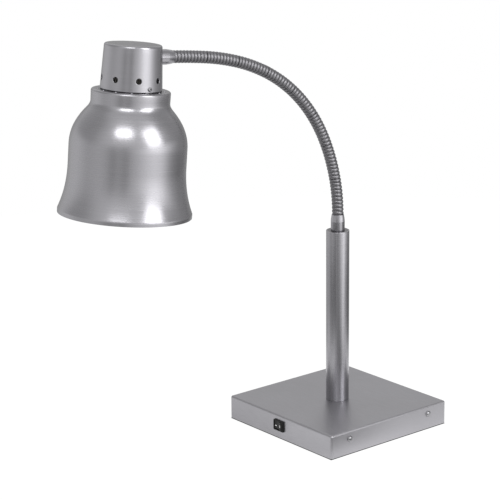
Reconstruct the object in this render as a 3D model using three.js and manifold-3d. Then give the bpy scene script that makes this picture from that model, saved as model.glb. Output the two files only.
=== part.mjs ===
// Food warming lamp: a weighted square base with a rocker switch, a round post, a ribbed gooseneck
// and a spun bell shade with a vented cap, which hangs a reflector bulb over the food.
// Millimetres, +Z up. The origin is the centre of the base's underside, and the arm leans towards -Y.

import * as THREE from 'three';
import { mergeVertices } from 'three/addons/utils/BufferGeometryUtils.js';
import Module from 'manifold-3d';

const wasm = await Module();
wasm.setup();

// Clearances
const SEAT_GAP = 0.3; // between a piece and what it rests on
const BORE_GAP = 0.3; // round a shank, spigot or plug in its hole

// Base: folded cover, flanged tray, ballast and pad
const BASE_SIDE = 200;
const COVER_HEIGHT = 30.5;
const COVER_WALL = 1.2;
const COVER_CORNER = 1.6;
const COVER_EDGE = 1.4;
const PAD_THICKNESS = 1.5;
const PAD_RECESS = 0.5; // how far the cover's rim hides the pad
const PAD_INSET = 6;
const TRAY_WALL = 1.5;
const TRAY_FLANGE = 24.5;
const TRAY_BEND = 2.5;
const BALLAST_CLEARANCE = 3; // behind the switch's tabs
const BALLAST_THICKNESS = 10;

// Side screws, one pair through each flange
const SCREW_HEAD_RADIUS = 4;
const SCREW_HEAD_HEIGHT = 2.6;
const SCREW_SHANK_RADIUS = 2;
const SCREW_LENGTH = 8;
const SCREW_SPREAD = 137; // between the two screws of a side
const SCREW_HEIGHT = 20.5;

// Rocker switch on the -Y face
const SWITCH_HEIGHT = 19;
const BEZEL_WIDTH = 21.5;
const BEZEL_HEIGHT = 14.6;
const BEZEL_THICKNESS = 2;
const BEZEL_CORNER = 1.6;
const SWITCH_BODY_WIDTH = 18.8;
const SWITCH_BODY_HEIGHT = 12.8;
const SWITCH_BODY_DEPTH = 17;
const ROCKER_RADIUS = 8.6;
const ROCKER_HEIGHT = 10.8;
const ROCKER_TILT = 10; // degrees to either side of the middle
const ROCKER_VALLEY = 3.55; // from the pivot out to the middle of the rocker's face
const ROCKER_BELLY = 5;
const ROCKER_PIN_RADIUS = 1.1;
const ROCKER_PIN_REACH = 0.4;
const PIVOT_DEPTH = 2; // pivot behind the panel's outer face
const TAB_WIDTH = 4.8;
const TAB_THICKNESS = 0.8;
const TAB_LENGTH = 7.5;
const TAB_SPREAD = 7.2;

// Cable gland on the +Y face
const GLAND_HEIGHT = 16;
const GLAND_THREAD_RADIUS = 6;
const GLAND_HEX_RADIUS = 9.5;
const GLAND_HEX_THICKNESS = 5;
const GLAND_DOME_RADIUS = 8;
const GLAND_DOME_LENGTH = 10;
const GLAND_THREAD_LENGTH = 9;
const GLAND_BORE_RADIUS = 3.4;
const GLAND_NUT_THICKNESS = 4;

// Terminal block and earth screw inside the base
const BLOCK_INSET = 58; // from the cover's side
const BLOCK_LENGTH = 22;
const BLOCK_HEIGHT = 11;
const BLOCK_POLES = 3;
const BLOCK_PITCH = 9;
const BLOCK_HOLE_RADIUS = 1.8;
const BLOCK_WELL_RADIUS = 2.1;
const BLOCK_WELL_DEPTH = 3.2;
const EARTH_INSET = [34, 66]; // from the cover's side and back
const EARTH_RADIUS = 3.6;
const WIRE_RADIUS = 1.2;
const WIRE_RUN = 14;
const WIRE_SPREAD = 3;

// Post: a round tube on a hollow threaded stud
const POST_RADIUS = 15;
const POST_WALL = 1.5;
const POST_LENGTH = 228;
const POST_CHAMFER = 0.9;
const PLUG_LENGTH = 12;
const STUD_RADIUS = 5;
const NUT_RADIUS = 8.4;
const NUT_THICKNESS = 5;
const WASHER_RADIUS = 14;
const WASHER_THICKNESS = 1.5;
const STUD_TAIL = 0.7; // stud past its nut

// Gooseneck: eight links of ten ribs, with the bend in degrees that each link has at rest
const LINK_BENDS = [12.5, 11, 13.25, 13.75, 12.75, 10.5, 7.9, 2.85];
const RIBS_PER_LINK = 10;
const RIB_PITCH = 4.875;
const RIB_CREST_RADIUS = 7.5;
const RIB_GROOVE_RADIUS = 6.3;
const NECK_BORE_RADIUS = 4;
const NECK_SIDES = 8;
const RIBS_PER_BORE_RING = 5;
const LINK_PLAY = 8.5; // degrees that a joint between two links may turn without touching
const CUFF_RADIUS = 6.4;
const CUFF_LENGTH = 15;
const LEAD_RADIUS = 3.2;

// Ferrule, the same at both ends of the neck
const FERRULE_RADIUS = 9;
const FERRULE_STRAIGHT = 12.6;
const FERRULE_SHOULDER = 16.8;
const FERRULE_SHOULDER_RADIUS = 8.7;
const FERRULE_LENGTH = 20.6;
const FERRULE_MOUTH_RADIUS = 7.8;
const SPIGOT_LENGTH = 9.5;

// Shade: a spun bell, its mouth at height 0 of the head's own axis
const SHADE_WALL = 0.8;
const SHADE_FLARE = 9.9; // how far the mouth stands out past the body
const SHADE_LIP = 4.5;
const BULB_CLEARANCE = 5.3; // between the bulb's girth and the inside of the body
const SHADE_FLARE_TOP = 56;
const SHADE_DOME_START = 80;
const SHADE_DOME_END = 122.5;
const SHADE_DOME_END_RADIUS = 50.5;
const SHADE_COLLAR_RADIUS = 46;
const SHADE_COLLAR_START = 131.5;
const SHADE_COLLAR_EDGE = 3;
const SHADE_TOP = 145.5;
const PIP_COUNT = 13;
const PIP_CIRCLE_RADIUS = 37.4;
const PIP_RADIUS = 1.9;
const PIP_HEIGHT = 1;

// Cap: the vented housing over the lampholder
const CAP_WALL = 1.1;
const CAP_BOTTOM_RADIUS = 36;
const CAP_TOP_RADIUS = 33.4;
const CAP_HEIGHT = 51;
const CAP_EDGE = 2.8;
const CAP_GAP = 1.5; // air gap between the cap's rim and the shade's shoulder
const VENT_COUNT = 8;
const VENT_RADIUS = 3.3;
const VENT_HEIGHT = 12; // above the cap's rim
const FERRULE_HEIGHT = 35.2; // above the cap's rim
const CAP_SCREW_HEIGHT = 3;
const CAP_SCREW_HEAD_RADIUS = 2.6;
const CAP_SCREW_HEAD_HEIGHT = 1.9;
const CAP_SCREW_RADIUS = 1.4;
const CAP_SCREW_LENGTH = 5.4;

// Bracket between shade and lampholder, with an ear for each cap screw
const BRACKET_THICKNESS = 1.2;
const BRACKET_RADIUS = 31;
const BRACKET_EAR_WIDTH = 10;
const BRACKET_EAR_HEIGHT = 8.2;

// Lampholder with its shade ring
const HOLDER_THREAD_RADIUS = 19.6;
const HOLDER_FLANGE_RADIUS = 24;
const HOLDER_FLANGE_THICKNESS = 3.6;
const HOLDER_BODY_RADIUS = 20;
const HOLDER_NECK_RADIUS = 16;
const HOLDER_CROWN_RADIUS = 12;
const HOLDER_HEIGHT = 41.5; // above the flange's seat
const HOLDER_SKIRT = 6.5; // below the flange's seat
const HOLDER_BORE_RADIUS = 14.3;
const HOLDER_BORE_DEPTH = 42.2;
const CONTACT_SPACE = 3; // between the bulb's contact and the bore's floor
const RING_RADIUS = 26;
const RING_THICKNESS = 3.2;
const SHELL_WALL = 0.4;
const SHELL_LENGTH = 25;
const THREAD_PITCH = 3.63;
const THREAD_DEPTH = 0.25;

// Reflector bulb, 125 mm across, measured up from its face
const BULB_RADIUS = 62.5;
const BULB_GIRTH = 35;
const BULB_LENGTH = 170;
const BULB_WALL = 0.9;
const BULB_THROAT_RADIUS = 19;
const BULB_THROAT_DROP = 35.2; // below the screw base
const BULB_THROAT_LENGTH = 12;
const BULB_NECK_RADIUS = 12;
const BULB_NECK_LENGTH = 10; // of the straight glass inside the screw base
const BULB_BASE_RADIUS = 13;
const BULB_BASE_WALL = 0.5;
const BULB_BASE_LENGTH = 26;
const BULB_CONTACT_RADIUS = 4.6;
const BULB_CONTACT_HEIGHT = 2;
const BULB_INSULATOR_HEIGHT = 3.8;
const STEM_RADIUS = 3;
const STEM_LENGTH = 44;
const FILAMENT_SPREAD = 15;
const FILAMENT_RADIUS = 0.5;

// Levels that follow from the sizes above
const coverBottom = PAD_THICKNESS - PAD_RECESS;
const baseTop = coverBottom + COVER_HEIGHT;
const blockX = BASE_SIDE / 2 - BLOCK_INSET;
const [earthX, earthY] = EARTH_INSET.map((inset) => BASE_SIDE / 2 - inset);
const ballastSide = BASE_SIDE - 2 * (SWITCH_BODY_DEPTH + TAB_LENGTH + BALLAST_CLEARANCE);
const trayTop = PAD_THICKNESS + TRAY_WALL;
const ceiling = baseTop - COVER_WALL;
const ballastTop = ceiling - SEAT_GAP;
const ballastBottom = ballastTop - BALLAST_THICKNESS;
const washerTop = ballastBottom - SEAT_GAP;
const nutTop = washerTop - WASHER_THICKNESS - SEAT_GAP;
const studEnd = nutTop - NUT_THICKNESS - STUD_TAIL;
const postBottom = baseTop + SEAT_GAP;
const postTop = postBottom + POST_LENGTH;
const neckStart = postTop + SEAT_GAP + FERRULE_LENGTH;
const linkLength = RIBS_PER_LINK * RIB_PITCH;
const capBottom = SHADE_TOP + CAP_GAP;
const capTop = capBottom + CAP_HEIGHT;
const plateBottom = SHADE_TOP - SHADE_WALL;
const bracketBottom = SHADE_TOP + SEAT_GAP;
const bracketTop = bracketBottom + BRACKET_THICKNESS;
const flangeSeat = bracketTop + SEAT_GAP;
const shadeBodyRadius = BULB_RADIUS + BULB_CLEARANCE + SHADE_WALL;
const shadeMouthRadius = shadeBodyRadius + SHADE_FLARE;
const ferruleAxis = capBottom + FERRULE_HEIGHT;
const holderFloor = flangeSeat - HOLDER_SKIRT + HOLDER_BORE_DEPTH;
const bulbTip = holderFloor - CONTACT_SPACE;
const bulbFace = bulbTip - BULB_LENGTH;

const radians = (degrees) => (degrees * Math.PI) / 180;

// Materials
const finish = (color, roughness, metalness) => (
  new THREE.MeshStandardMaterial({ color, roughness, metalness })
);
const brushedSteel = finish(0xa6a6a8, 0.36, 0.9);
const satinSteel = finish(0x9c9c9f, 0.42, 0.85);
const platedSteel = finish(0xb4b5b8, 0.25, 0.95);
const blackSteel = finish(0x2c2c2e, 0.6, 0.5);
const blackPlastic = finish(0x19191b, 0.38, 0);
const paleNylon = finish(0xd9d6cc, 0.5, 0);
const rubber = finish(0x1d1d1e, 0.85, 0);
const brass = finish(0xb9963f, 0.3, 0.95);
const porcelain = finish(0xe6e3da, 0.25, 0);
const silicone = finish(0xc9c6bd, 0.6, 0);
const rubyGlass = finish(0x8a1512, 0.1, 0);
const clearGlass = finish(0xcfd8d8, 0.08, 0);
const vitrite = finish(0x1b1714, 0.2, 0);

// Solids: welded three.js geometries, and manifolds where a piece is cut or joined

function weld(geometry) {
  const bare = geometry.clone();
  bare.deleteAttribute('normal');
  bare.deleteAttribute('uv');
  const merged = mergeVertices(bare, 1e-4);
  const { array } = merged.index;
  const kept = [];
  for (let i = 0; i < array.length; i += 3) {
    const [a, b, c] = [array[i], array[i + 1], array[i + 2]];
    if (a !== b && b !== c && c !== a) kept.push(a, b, c);
  }
  merged.setIndex(volume(merged, kept) < 0 ? flipped(kept) : kept);
  return merged;
}

function volume(geometry, index) {
  const position = geometry.attributes.position;
  const [a, b, c] = [new THREE.Vector3(), new THREE.Vector3(), new THREE.Vector3()];
  let sum = 0;
  for (let i = 0; i < index.length; i += 3) {
    a.fromBufferAttribute(position, index[i]);
    b.fromBufferAttribute(position, index[i + 1]);
    c.fromBufferAttribute(position, index[i + 2]);
    sum += a.dot(b.cross(c)) / 6;
  }
  return sum;
}

function flipped(index) {
  const out = [];
  for (let i = 0; i < index.length; i += 3) out.push(index[i], index[i + 2], index[i + 1]);
  return out;
}

function solid(geometry) {
  const welded = weld(geometry);
  const vertProperties = Float32Array.from(welded.attributes.position.array);
  const triVerts = Uint32Array.from(welded.index.array);
  return new wasm.Manifold(new wasm.Mesh({ numProp: 3, vertProperties, triVerts }));
}

function geometryOf(manifold) {
  const mesh = manifold.getMesh();
  const geometry = new THREE.BufferGeometry();
  geometry.setAttribute('position', new THREE.BufferAttribute(Float32Array.from(mesh.vertProperties), 3));
  geometry.setIndex(Array.from(mesh.triVerts));
  return geometry;
}

const cut = (body, ...tools) => tools.reduce((left, tool) => left.subtract(solid(tool)), body);
const join = (body, ...others) => others.reduce((left, other) => left.add(solid(other)), body);

function add(parent, name, shape, material) {
  const geometry = shape.isBufferGeometry ? weld(shape) : geometryOf(shape);
  geometry.computeVertexNormals();
  const mesh = new THREE.Mesh(geometry, material);
  mesh.name = name;
  parent.add(mesh);
  return mesh;
}

function group(parent, x = 0, y = 0, z = 0, rotationX = 0) {
  const holder = new THREE.Group();
  holder.position.set(x, y, z);
  holder.rotation.x = rotationX;
  parent.add(holder);
  return holder;
}

// Basic forms, each standing on z = 0 unless it says otherwise

const toY = (geometry) => geometry.rotateX(-Math.PI / 2);
const toX = (geometry) => geometry.rotateY(Math.PI / 2);

function cylinder(radius, height, sides = 20) {
  const round = new THREE.CylinderGeometry(radius, radius, height, sides);
  return round.rotateX(Math.PI / 2).translate(0, 0, height / 2);
}

function box(width, depth, height) {
  return new THREE.BoxGeometry(width, depth, height).translate(0, 0, height / 2);
}

function turned(points, sides = 24) {
  const profile = points.map(([radius, height]) => new THREE.Vector2(radius, height));
  return new THREE.LatheGeometry(profile, sides).rotateX(Math.PI / 2);
}

function ring(inner, outer, bottom, top, sides = 24) {
  return turned([[inner, bottom], [outer, bottom], [outer, top], [inner, top], [inner, bottom]], sides);
}

function dome(radius, height, sides = 16, steps = 4) {
  const points = [[0, 0]];
  for (let i = 0; i <= steps; i += 1) {
    const angle = (i / steps) * (Math.PI / 2);
    points.push([i === steps ? 0 : radius * Math.cos(angle), height * Math.sin(angle)]);
  }
  return turned(points, sides);
}

function roundedRectangle(width, height, radius) {
  const [w, h] = [width / 2, height / 2];
  const shape = new THREE.Shape();
  shape.moveTo(w, -h + radius);
  shape.lineTo(w, h - radius);
  shape.absarc(w - radius, h - radius, radius, 0, Math.PI / 2);
  shape.lineTo(-w + radius, h);
  shape.absarc(-w + radius, h - radius, radius, Math.PI / 2, Math.PI);
  shape.lineTo(-w, -h + radius);
  shape.absarc(-w + radius, -h + radius, radius, Math.PI, Math.PI * 1.5);
  shape.lineTo(w - radius, -h);
  shape.absarc(w - radius, -h + radius, radius, Math.PI * 1.5, Math.PI * 2);
  return shape;
}

function extruded(shape, depth, curveSegments = 3) {
  return new THREE.ExtrudeGeometry(shape, { depth, bevelEnabled: false, curveSegments });
}

// A sheet's outline: the path, then the same path moved to its left by the sheet's thickness
function sheet(path, thickness, steps) {
  const near = path.getPoints(steps).filter((p, i, all) => i === 0 || p.distanceTo(all[i - 1]) > 1e-6);
  const far = near.map((point, i) => {
    const before = near[Math.max(i - 1, 0)];
    const after = near[Math.min(i + 1, near.length - 1)];
    const into = point.clone().sub(before).normalize();
    const out = after.clone().sub(point).normalize();
    if (i === 0) into.copy(out);
    if (i === near.length - 1) out.copy(into);
    const normal = new THREE.Vector2(-into.y - out.y, into.x + out.x).normalize();
    const mitre = normal.x * -into.y + normal.y * into.x;
    return point.clone().addScaledVector(normal, thickness / mitre);
  });
  return [...near, ...far.reverse()];
}

function tube(points, radius, steps, sides = 5) {
  const section = new THREE.Shape();
  for (let i = 0; i < sides; i += 1) {
    const turn = (i / sides) * Math.PI * 2;
    section[i === 0 ? 'moveTo' : 'lineTo'](radius * Math.cos(turn), radius * Math.sin(turn));
  }
  const extrudePath = new THREE.CatmullRomCurve3(points.map((p) => new THREE.Vector3(...p)));
  return new THREE.ExtrudeGeometry(section, { steps, extrudePath, bevelEnabled: false });
}

// Base

function makeCover() {
  const overrun = 12;
  const outline = roundedRectangle(BASE_SIDE - 2 * COVER_EDGE, BASE_SIDE - 2 * COVER_EDGE, COVER_CORNER);
  const block = new THREE.ExtrudeGeometry(outline, {
    depth: COVER_HEIGHT + overrun - 2 * COVER_EDGE,
    bevelThickness: COVER_EDGE,
    bevelSize: COVER_EDGE,
    bevelSegments: 2,
    curveSegments: 2,
  }).translate(0, 0, coverBottom - overrun + COVER_EDGE);
  const inside = BASE_SIDE - 2 * COVER_WALL;
  const cavity = extruded(roundedRectangle(inside, inside, COVER_CORNER), ceiling - coverBottom + 1);
  const below = box(BASE_SIDE + 10, BASE_SIDE + 10, overrun + 2).translate(0, 0, coverBottom - overrun - 2);
  const panel = 3 * COVER_WALL;
  const switchHole = box(SWITCH_BODY_WIDTH + 2 * BORE_GAP, panel, SWITCH_BODY_HEIGHT + 2 * BORE_GAP);
  switchHole.translate(0, -BASE_SIDE / 2, SWITCH_HEIGHT - SWITCH_BODY_HEIGHT / 2 - BORE_GAP);
  const glandHole = toY(cylinder(GLAND_THREAD_RADIUS + BORE_GAP, panel));
  glandHole.translate(0, BASE_SIDE / 2 - 2 * COVER_WALL, GLAND_HEIGHT);
  const studHole = cylinder(STUD_RADIUS + BORE_GAP, panel).translate(0, 0, ceiling - COVER_WALL);
  const screwHoles = screwPlaces().map(([x, y]) => screwHole(x, y, SCREW_SHANK_RADIUS + BORE_GAP));
  cavity.translate(0, 0, coverBottom - 1);
  return cut(solid(block), cavity, below, switchHole, glandHole, studHole, ...screwHoles);
}

function screwPlaces() {
  const half = SCREW_SPREAD / 2;
  return [[1, -half], [1, half], [-1, -half], [-1, half]];
}

function screwHole(side, y, radius) {
  return toX(cylinder(radius, 12, 16)).translate(side * (BASE_SIDE / 2) - 6, y, SCREW_HEIGHT);
}

function makeTray() {
  const half = BASE_SIDE / 2 - COVER_WALL - SEAT_GAP;
  const top = PAD_THICKNESS + TRAY_FLANGE;
  const path = new THREE.Path();
  path.moveTo(-half, top);
  path.lineTo(-half, PAD_THICKNESS + TRAY_BEND);
  path.quadraticCurveTo(-half, PAD_THICKNESS, -half + TRAY_BEND, PAD_THICKNESS);
  path.lineTo(half - TRAY_BEND, PAD_THICKNESS);
  path.quadraticCurveTo(half, PAD_THICKNESS, half, PAD_THICKNESS + TRAY_BEND);
  path.lineTo(half, top);
  const profile = new THREE.Shape(sheet(path, TRAY_WALL, 3));
  const depth = 2 * (half - COVER_CORNER);
  const folded = extruded(profile, depth).rotateX(Math.PI / 2).translate(0, depth / 2, 0);
  const screwHoles = screwPlaces().map(([x, y]) => screwHole(x, y, SCREW_SHANK_RADIUS + BORE_GAP));
  return cut(solid(folded), ...screwHoles);
}

// A dome-headed screw along X, its head out on the given side
function makeScrew(side, headRadius, headHeight, shankRadius, length) {
  const head = dome(headRadius, headHeight, 16, 3);
  const shank = cylinder(shankRadius, length, 12).translate(0, 0, 0.5 - length);
  return geometryOf(join(solid(head), shank)).rotateY((side * Math.PI) / 2);
}

function makeBase(parent) {
  add(parent, 'base_cover', makeCover(), satinSteel);
  add(parent, 'base_tray', makeTray(), platedSteel);
  const padSide = BASE_SIDE - 2 * PAD_INSET;
  add(parent, 'base_pad', extruded(roundedRectangle(padSide, padSide, 5), PAD_THICKNESS), rubber);
  const ballast = box(ballastSide, ballastSide, BALLAST_THICKNESS).translate(0, 0, ballastBottom);
  const studHole = cylinder(STUD_RADIUS + BORE_GAP, BALLAST_THICKNESS + 2).translate(0, 0, ballastBottom - 1);
  add(parent, 'ballast_plate', cut(solid(ballast), studHole), blackSteel);
  screwPlaces().forEach(([side, y], i) => {
    const screw = makeScrew(side, SCREW_HEAD_RADIUS, SCREW_HEAD_HEIGHT, SCREW_SHANK_RADIUS, SCREW_LENGTH);
    screw.translate(side * (BASE_SIDE / 2 + SEAT_GAP), y, SCREW_HEIGHT);
    add(parent, `side_screw_${i + 1}`, screw, platedSteel);
  });
}

// Switch, in a group whose origin is the panel's outer face behind the middle of the bezel

function makeSwitchHousing() {
  const bezel = extruded(roundedRectangle(BEZEL_WIDTH, BEZEL_HEIGHT, BEZEL_CORNER), BEZEL_THICKNESS);
  bezel.rotateX(Math.PI / 2).translate(0, -SEAT_GAP, 0);
  const sunk = SEAT_GAP + BEZEL_THICKNESS / 2;
  const body = box(SWITCH_BODY_WIDTH, SWITCH_BODY_DEPTH + sunk, SWITCH_BODY_HEIGHT);
  body.translate(0, (SWITCH_BODY_DEPTH - sunk) / 2, -SWITCH_BODY_HEIGHT / 2);
  const wingStart = COVER_WALL + SEAT_GAP;
  const wings = [-1, 1].map((side) => {
    const edge = (side * SWITCH_BODY_WIDTH) / 2;
    const outline = new THREE.Shape();
    outline.moveTo(edge - side * 0.5, wingStart);
    outline.lineTo(edge + side * 1, wingStart);
    outline.lineTo(edge - side * 0.5, wingStart + 6);
    return extruded(outline, SWITCH_BODY_HEIGHT / 2).translate(0, 0, -SWITCH_BODY_HEIGHT / 4);
  });
  const cavityWidth = 2 * (ROCKER_RADIUS + BORE_GAP);
  const cavityHeight = ROCKER_HEIGHT + 2 * BORE_GAP;
  const cavityDepth = PIVOT_DEPTH + ROCKER_RADIUS + BEZEL_THICKNESS + 2;
  const cavity = box(cavityWidth, cavityDepth, cavityHeight);
  cavity.translate(0, cavityDepth / 2 - BEZEL_THICKNESS - 1, -cavityHeight / 2);
  const pinReach = ROCKER_HEIGHT + 2 * ROCKER_PIN_REACH + 2 * BORE_GAP;
  const pinHole = cylinder(ROCKER_PIN_RADIUS + BORE_GAP, pinReach, 12);
  pinHole.translate(0, PIVOT_DEPTH, -pinReach / 2);
  return cut(join(solid(bezel), body, ...wings), cavity, pinHole);
}

// The rocker stands off its pivot: two faces that meet in a valley, and ends round the pivot
function makeRocker() {
  const slope = radians(ROCKER_TILT);
  const drop = ROCKER_VALLEY * Math.cos(slope);
  const reach = Math.acos(drop / ROCKER_RADIUS);
  const endAngle = Math.PI / 2 + slope - reach;
  const bellyAngle = -Math.asin(ROCKER_BELLY / ROCKER_RADIUS);
  const outline = new THREE.Shape();
  outline.moveTo(0, ROCKER_VALLEY);
  outline.absarc(0, 0, ROCKER_RADIUS, Math.PI - endAngle, Math.PI - bellyAngle, false);
  outline.absarc(0, 0, ROCKER_RADIUS, bellyAngle, endAngle, false);
  outline.lineTo(0, ROCKER_VALLEY);
  const face = extruded(outline, ROCKER_HEIGHT, 4).translate(0, 0, -ROCKER_HEIGHT / 2);
  const pinLength = ROCKER_HEIGHT + 2 * ROCKER_PIN_REACH;
  const pin = cylinder(ROCKER_PIN_RADIUS, pinLength, 12).translate(0, 0, -pinLength / 2);
  const rocker = geometryOf(join(solid(face), pin));
  return rocker.rotateX(Math.PI).rotateZ(radians(-ROCKER_TILT));
}

function makeSwitch(parent) {
  const panel = group(parent, 0, -BASE_SIDE / 2, SWITCH_HEIGHT);
  add(panel, 'switch_housing', makeSwitchHousing(), blackPlastic);
  add(group(panel, 0, PIVOT_DEPTH, 0), 'switch_rocker', makeRocker(), blackPlastic);
  [-1, 1].forEach((side, i) => {
    const tab = box(TAB_THICKNESS, TAB_LENGTH, TAB_WIDTH);
    tab.translate((side * TAB_SPREAD) / 2, SWITCH_BODY_DEPTH + SEAT_GAP + TAB_LENGTH / 2, -TAB_WIDTH / 2);
    add(panel, `switch_tab_${i + 1}`, tab, brass);
  });
}

// Gland, terminal block, earth screw and wires

function makeGland(parent) {
  const panel = group(parent, 0, BASE_SIDE / 2, GLAND_HEIGHT);
  const hex = toY(cylinder(GLAND_HEX_RADIUS, GLAND_HEX_THICKNESS, 6)).translate(0, SEAT_GAP, 0);
  const crown = GLAND_HEX_THICKNESS + GLAND_DOME_LENGTH;
  const cap = toY(turned([
    [0, GLAND_HEX_THICKNESS - 1],
    [GLAND_DOME_RADIUS, GLAND_HEX_THICKNESS - 1],
    [GLAND_DOME_RADIUS, crown - 4],
    [GLAND_DOME_RADIUS - 2.4, crown],
    [0, crown],
  ], 24));
  const thread = toY(cylinder(GLAND_THREAD_RADIUS, GLAND_THREAD_LENGTH + 1));
  thread.translate(0, -GLAND_THREAD_LENGTH, 0);
  const inner = -GLAND_THREAD_LENGTH - 1;
  const bore = toY(cylinder(GLAND_BORE_RADIUS, crown - inner + 1)).translate(0, inner, 0);
  add(panel, 'cable_gland', cut(join(solid(hex), cap, thread), bore), blackPlastic);
  const nut = toY(cylinder(GLAND_HEX_RADIUS - 0.8, GLAND_NUT_THICKNESS, 6));
  nut.translate(0, -COVER_WALL - SEAT_GAP - GLAND_NUT_THICKNESS, 0);
  const hole = toY(cylinder(GLAND_THREAD_RADIUS + BORE_GAP, -inner)).translate(0, inner, 0);
  add(panel, 'gland_locknut', cut(solid(nut), hole), blackPlastic);
}

const poleY = (pole) => (pole - (BLOCK_POLES - 1) / 2) * BLOCK_PITCH;
const wireZ = () => trayTop + SEAT_GAP + BLOCK_HEIGHT * 0.42;

function makeTerminalBlock(parent) {
  const floor = trayTop + SEAT_GAP;
  const half = BLOCK_LENGTH / 2;
  const outline = new THREE.Shape();
  outline.moveTo(-half, 0);
  outline.lineTo(half, 0);
  outline.lineTo(half, BLOCK_HEIGHT * 0.7);
  outline.lineTo(half - 2.5, BLOCK_HEIGHT);
  outline.lineTo(-half + 2.5, BLOCK_HEIGHT);
  outline.lineTo(-half, BLOCK_HEIGHT * 0.7);
  const span = BLOCK_POLES * BLOCK_PITCH;
  const body = extruded(outline, span).rotateX(Math.PI / 2).translate(blockX, span / 2, floor);
  const tools = [];
  for (let pole = 0; pole < BLOCK_POLES; pole += 1) {
    const channel = toX(cylinder(BLOCK_HOLE_RADIUS, BLOCK_LENGTH + 2, 8));
    tools.push(channel.translate(blockX - half - 1, poleY(pole), wireZ()));
    for (const side of [-1, 1]) {
      const x = blockX + (side * BLOCK_LENGTH) / 4;
      const well = cylinder(BLOCK_WELL_RADIUS, BLOCK_WELL_DEPTH + 1, 8);
      tools.push(well.translate(x, poleY(pole), floor + BLOCK_HEIGHT - BLOCK_WELL_DEPTH));
    }
  }
  add(parent, 'terminal_block', cut(solid(body), ...tools), paleNylon);
  const earth = turned([
    [0, floor], [EARTH_RADIUS + 1.4, floor], [EARTH_RADIUS + 1.4, floor + 1], [EARTH_RADIUS, floor + 1],
    [EARTH_RADIUS, floor + 3.4], [EARTH_RADIUS - 1, floor + 4.2], [0, floor + 4.2],
  ], 16).translate(earthX, earthY, 0);
  add(parent, 'earth_screw', earth, brass);
}

function makeBaseWires(parent) {
  const low = trayTop + SEAT_GAP + WIRE_RADIUS + 0.6;
  const tabY = -BASE_SIDE / 2 + SWITCH_BODY_DEPTH + SEAT_GAP + TAB_LENGTH / 2;
  const tabZ = SWITCH_HEIGHT - TAB_WIDTH / 2 - SEAT_GAP;
  const blockEnd = blockX + BLOCK_LENGTH / 2 + SEAT_GAP;
  [-1, 1].forEach((side, pole) => {
    const x = (side * TAB_SPREAD) / 2;
    const y = tabY + WIRE_RUN - side * WIRE_SPREAD;
    const far = blockEnd + WIRE_RUN - WIRE_SPREAD + side * WIRE_SPREAD;
    add(parent, `switch_wire_${pole + 1}`, tube([
      [x, tabY, tabZ],
      [x, tabY, low + 6],
      [x, tabY + 3, low + 1.6],
      [x, tabY + 7, low],
      [x + 7, y, low],
      [far - 12, y, low],
      [far, y + 12, low],
      [far, poleY(pole) - 9, low],
      [far - 5, poleY(pole) - 1, wireZ()],
      [blockEnd, poleY(pole), wireZ()],
    ], WIRE_RADIUS, 30), silicone);
  });
  const earthReach = EARTH_RADIUS + 1.4 + SEAT_GAP + WIRE_RADIUS;
  add(parent, 'earth_wire', tube([
    [blockEnd, poleY(2), wireZ()],
    [blockEnd + 5, poleY(2) + 1, wireZ() - 1],
    [earthX + earthReach - 0.5, earthY - 12, low],
    [earthX + earthReach, earthY, low],
  ], WIRE_RADIUS, 14), silicone);
}

// Post

function makePost(parent) {
  const inner = POST_RADIUS - POST_WALL;
  add(parent, 'post_tube', turned([
    [inner, postBottom], [POST_RADIUS, postBottom], [POST_RADIUS, postTop - POST_CHAMFER],
    [POST_RADIUS - POST_CHAMFER * 0.3, postTop - POST_CHAMFER * 0.3], [POST_RADIUS - POST_CHAMFER, postTop],
    [inner, postTop], [inner, postBottom],
  ], 32), brushedSteel);
  const fit = inner - BORE_GAP;
  const bore = LEAD_RADIUS + BORE_GAP;
  add(parent, 'post_foot_plug', turned([
    [bore, studEnd], [STUD_RADIUS, studEnd], [STUD_RADIUS, postBottom + SEAT_GAP], [fit, postBottom + SEAT_GAP],
    [fit, postBottom + PLUG_LENGTH], [bore, postBottom + PLUG_LENGTH], [bore, studEnd],
  ]), platedSteel);
  const hole = STUD_RADIUS + BORE_GAP;
  add(parent, 'post_washer', ring(hole, WASHER_RADIUS, washerTop - WASHER_THICKNESS, washerTop), platedSteel);
  const nut = cylinder(NUT_RADIUS, NUT_THICKNESS, 6).translate(0, 0, nutTop - NUT_THICKNESS);
  const nutHole = cylinder(hole, NUT_THICKNESS + 2).translate(0, 0, nutTop - NUT_THICKNESS - 1);
  add(parent, 'post_nut', cut(solid(nut), nutHole), platedSteel);
  add(parent, 'post_top_plug', ring(hole, fit, postTop - PLUG_LENGTH, postTop), platedSteel);
}

// Ferrule, standing on its seat with the neck's socket above and the hollow spigot below
function makeFerrule() {
  const floor = FERRULE_LENGTH - CUFF_LENGTH - SEAT_GAP;
  const socket = CUFF_RADIUS + BORE_GAP;
  const bore = LEAD_RADIUS + BORE_GAP;
  return turned([
    [bore, -SPIGOT_LENGTH], [STUD_RADIUS, -SPIGOT_LENGTH], [STUD_RADIUS, 0], [FERRULE_RADIUS - 0.4, 0],
    [FERRULE_RADIUS, 0.4], [FERRULE_RADIUS, FERRULE_STRAIGHT], [FERRULE_SHOULDER_RADIUS, FERRULE_SHOULDER],
    [FERRULE_MOUTH_RADIUS, FERRULE_LENGTH], [socket, FERRULE_LENGTH], [socket, floor], [bore, floor],
    [bore, -SPIGOT_LENGTH],
  ]);
}

// Gooseneck: a link is an arc in the YZ plane, given by its start and by its angle from the vertical

function stations() {
  const out = [{ y: 0, z: neckStart, angle: 0 }];
  for (const bend of LINK_BENDS) {
    out.push(along(out[out.length - 1], radians(bend), linkLength));
  }
  return out;
}

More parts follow.
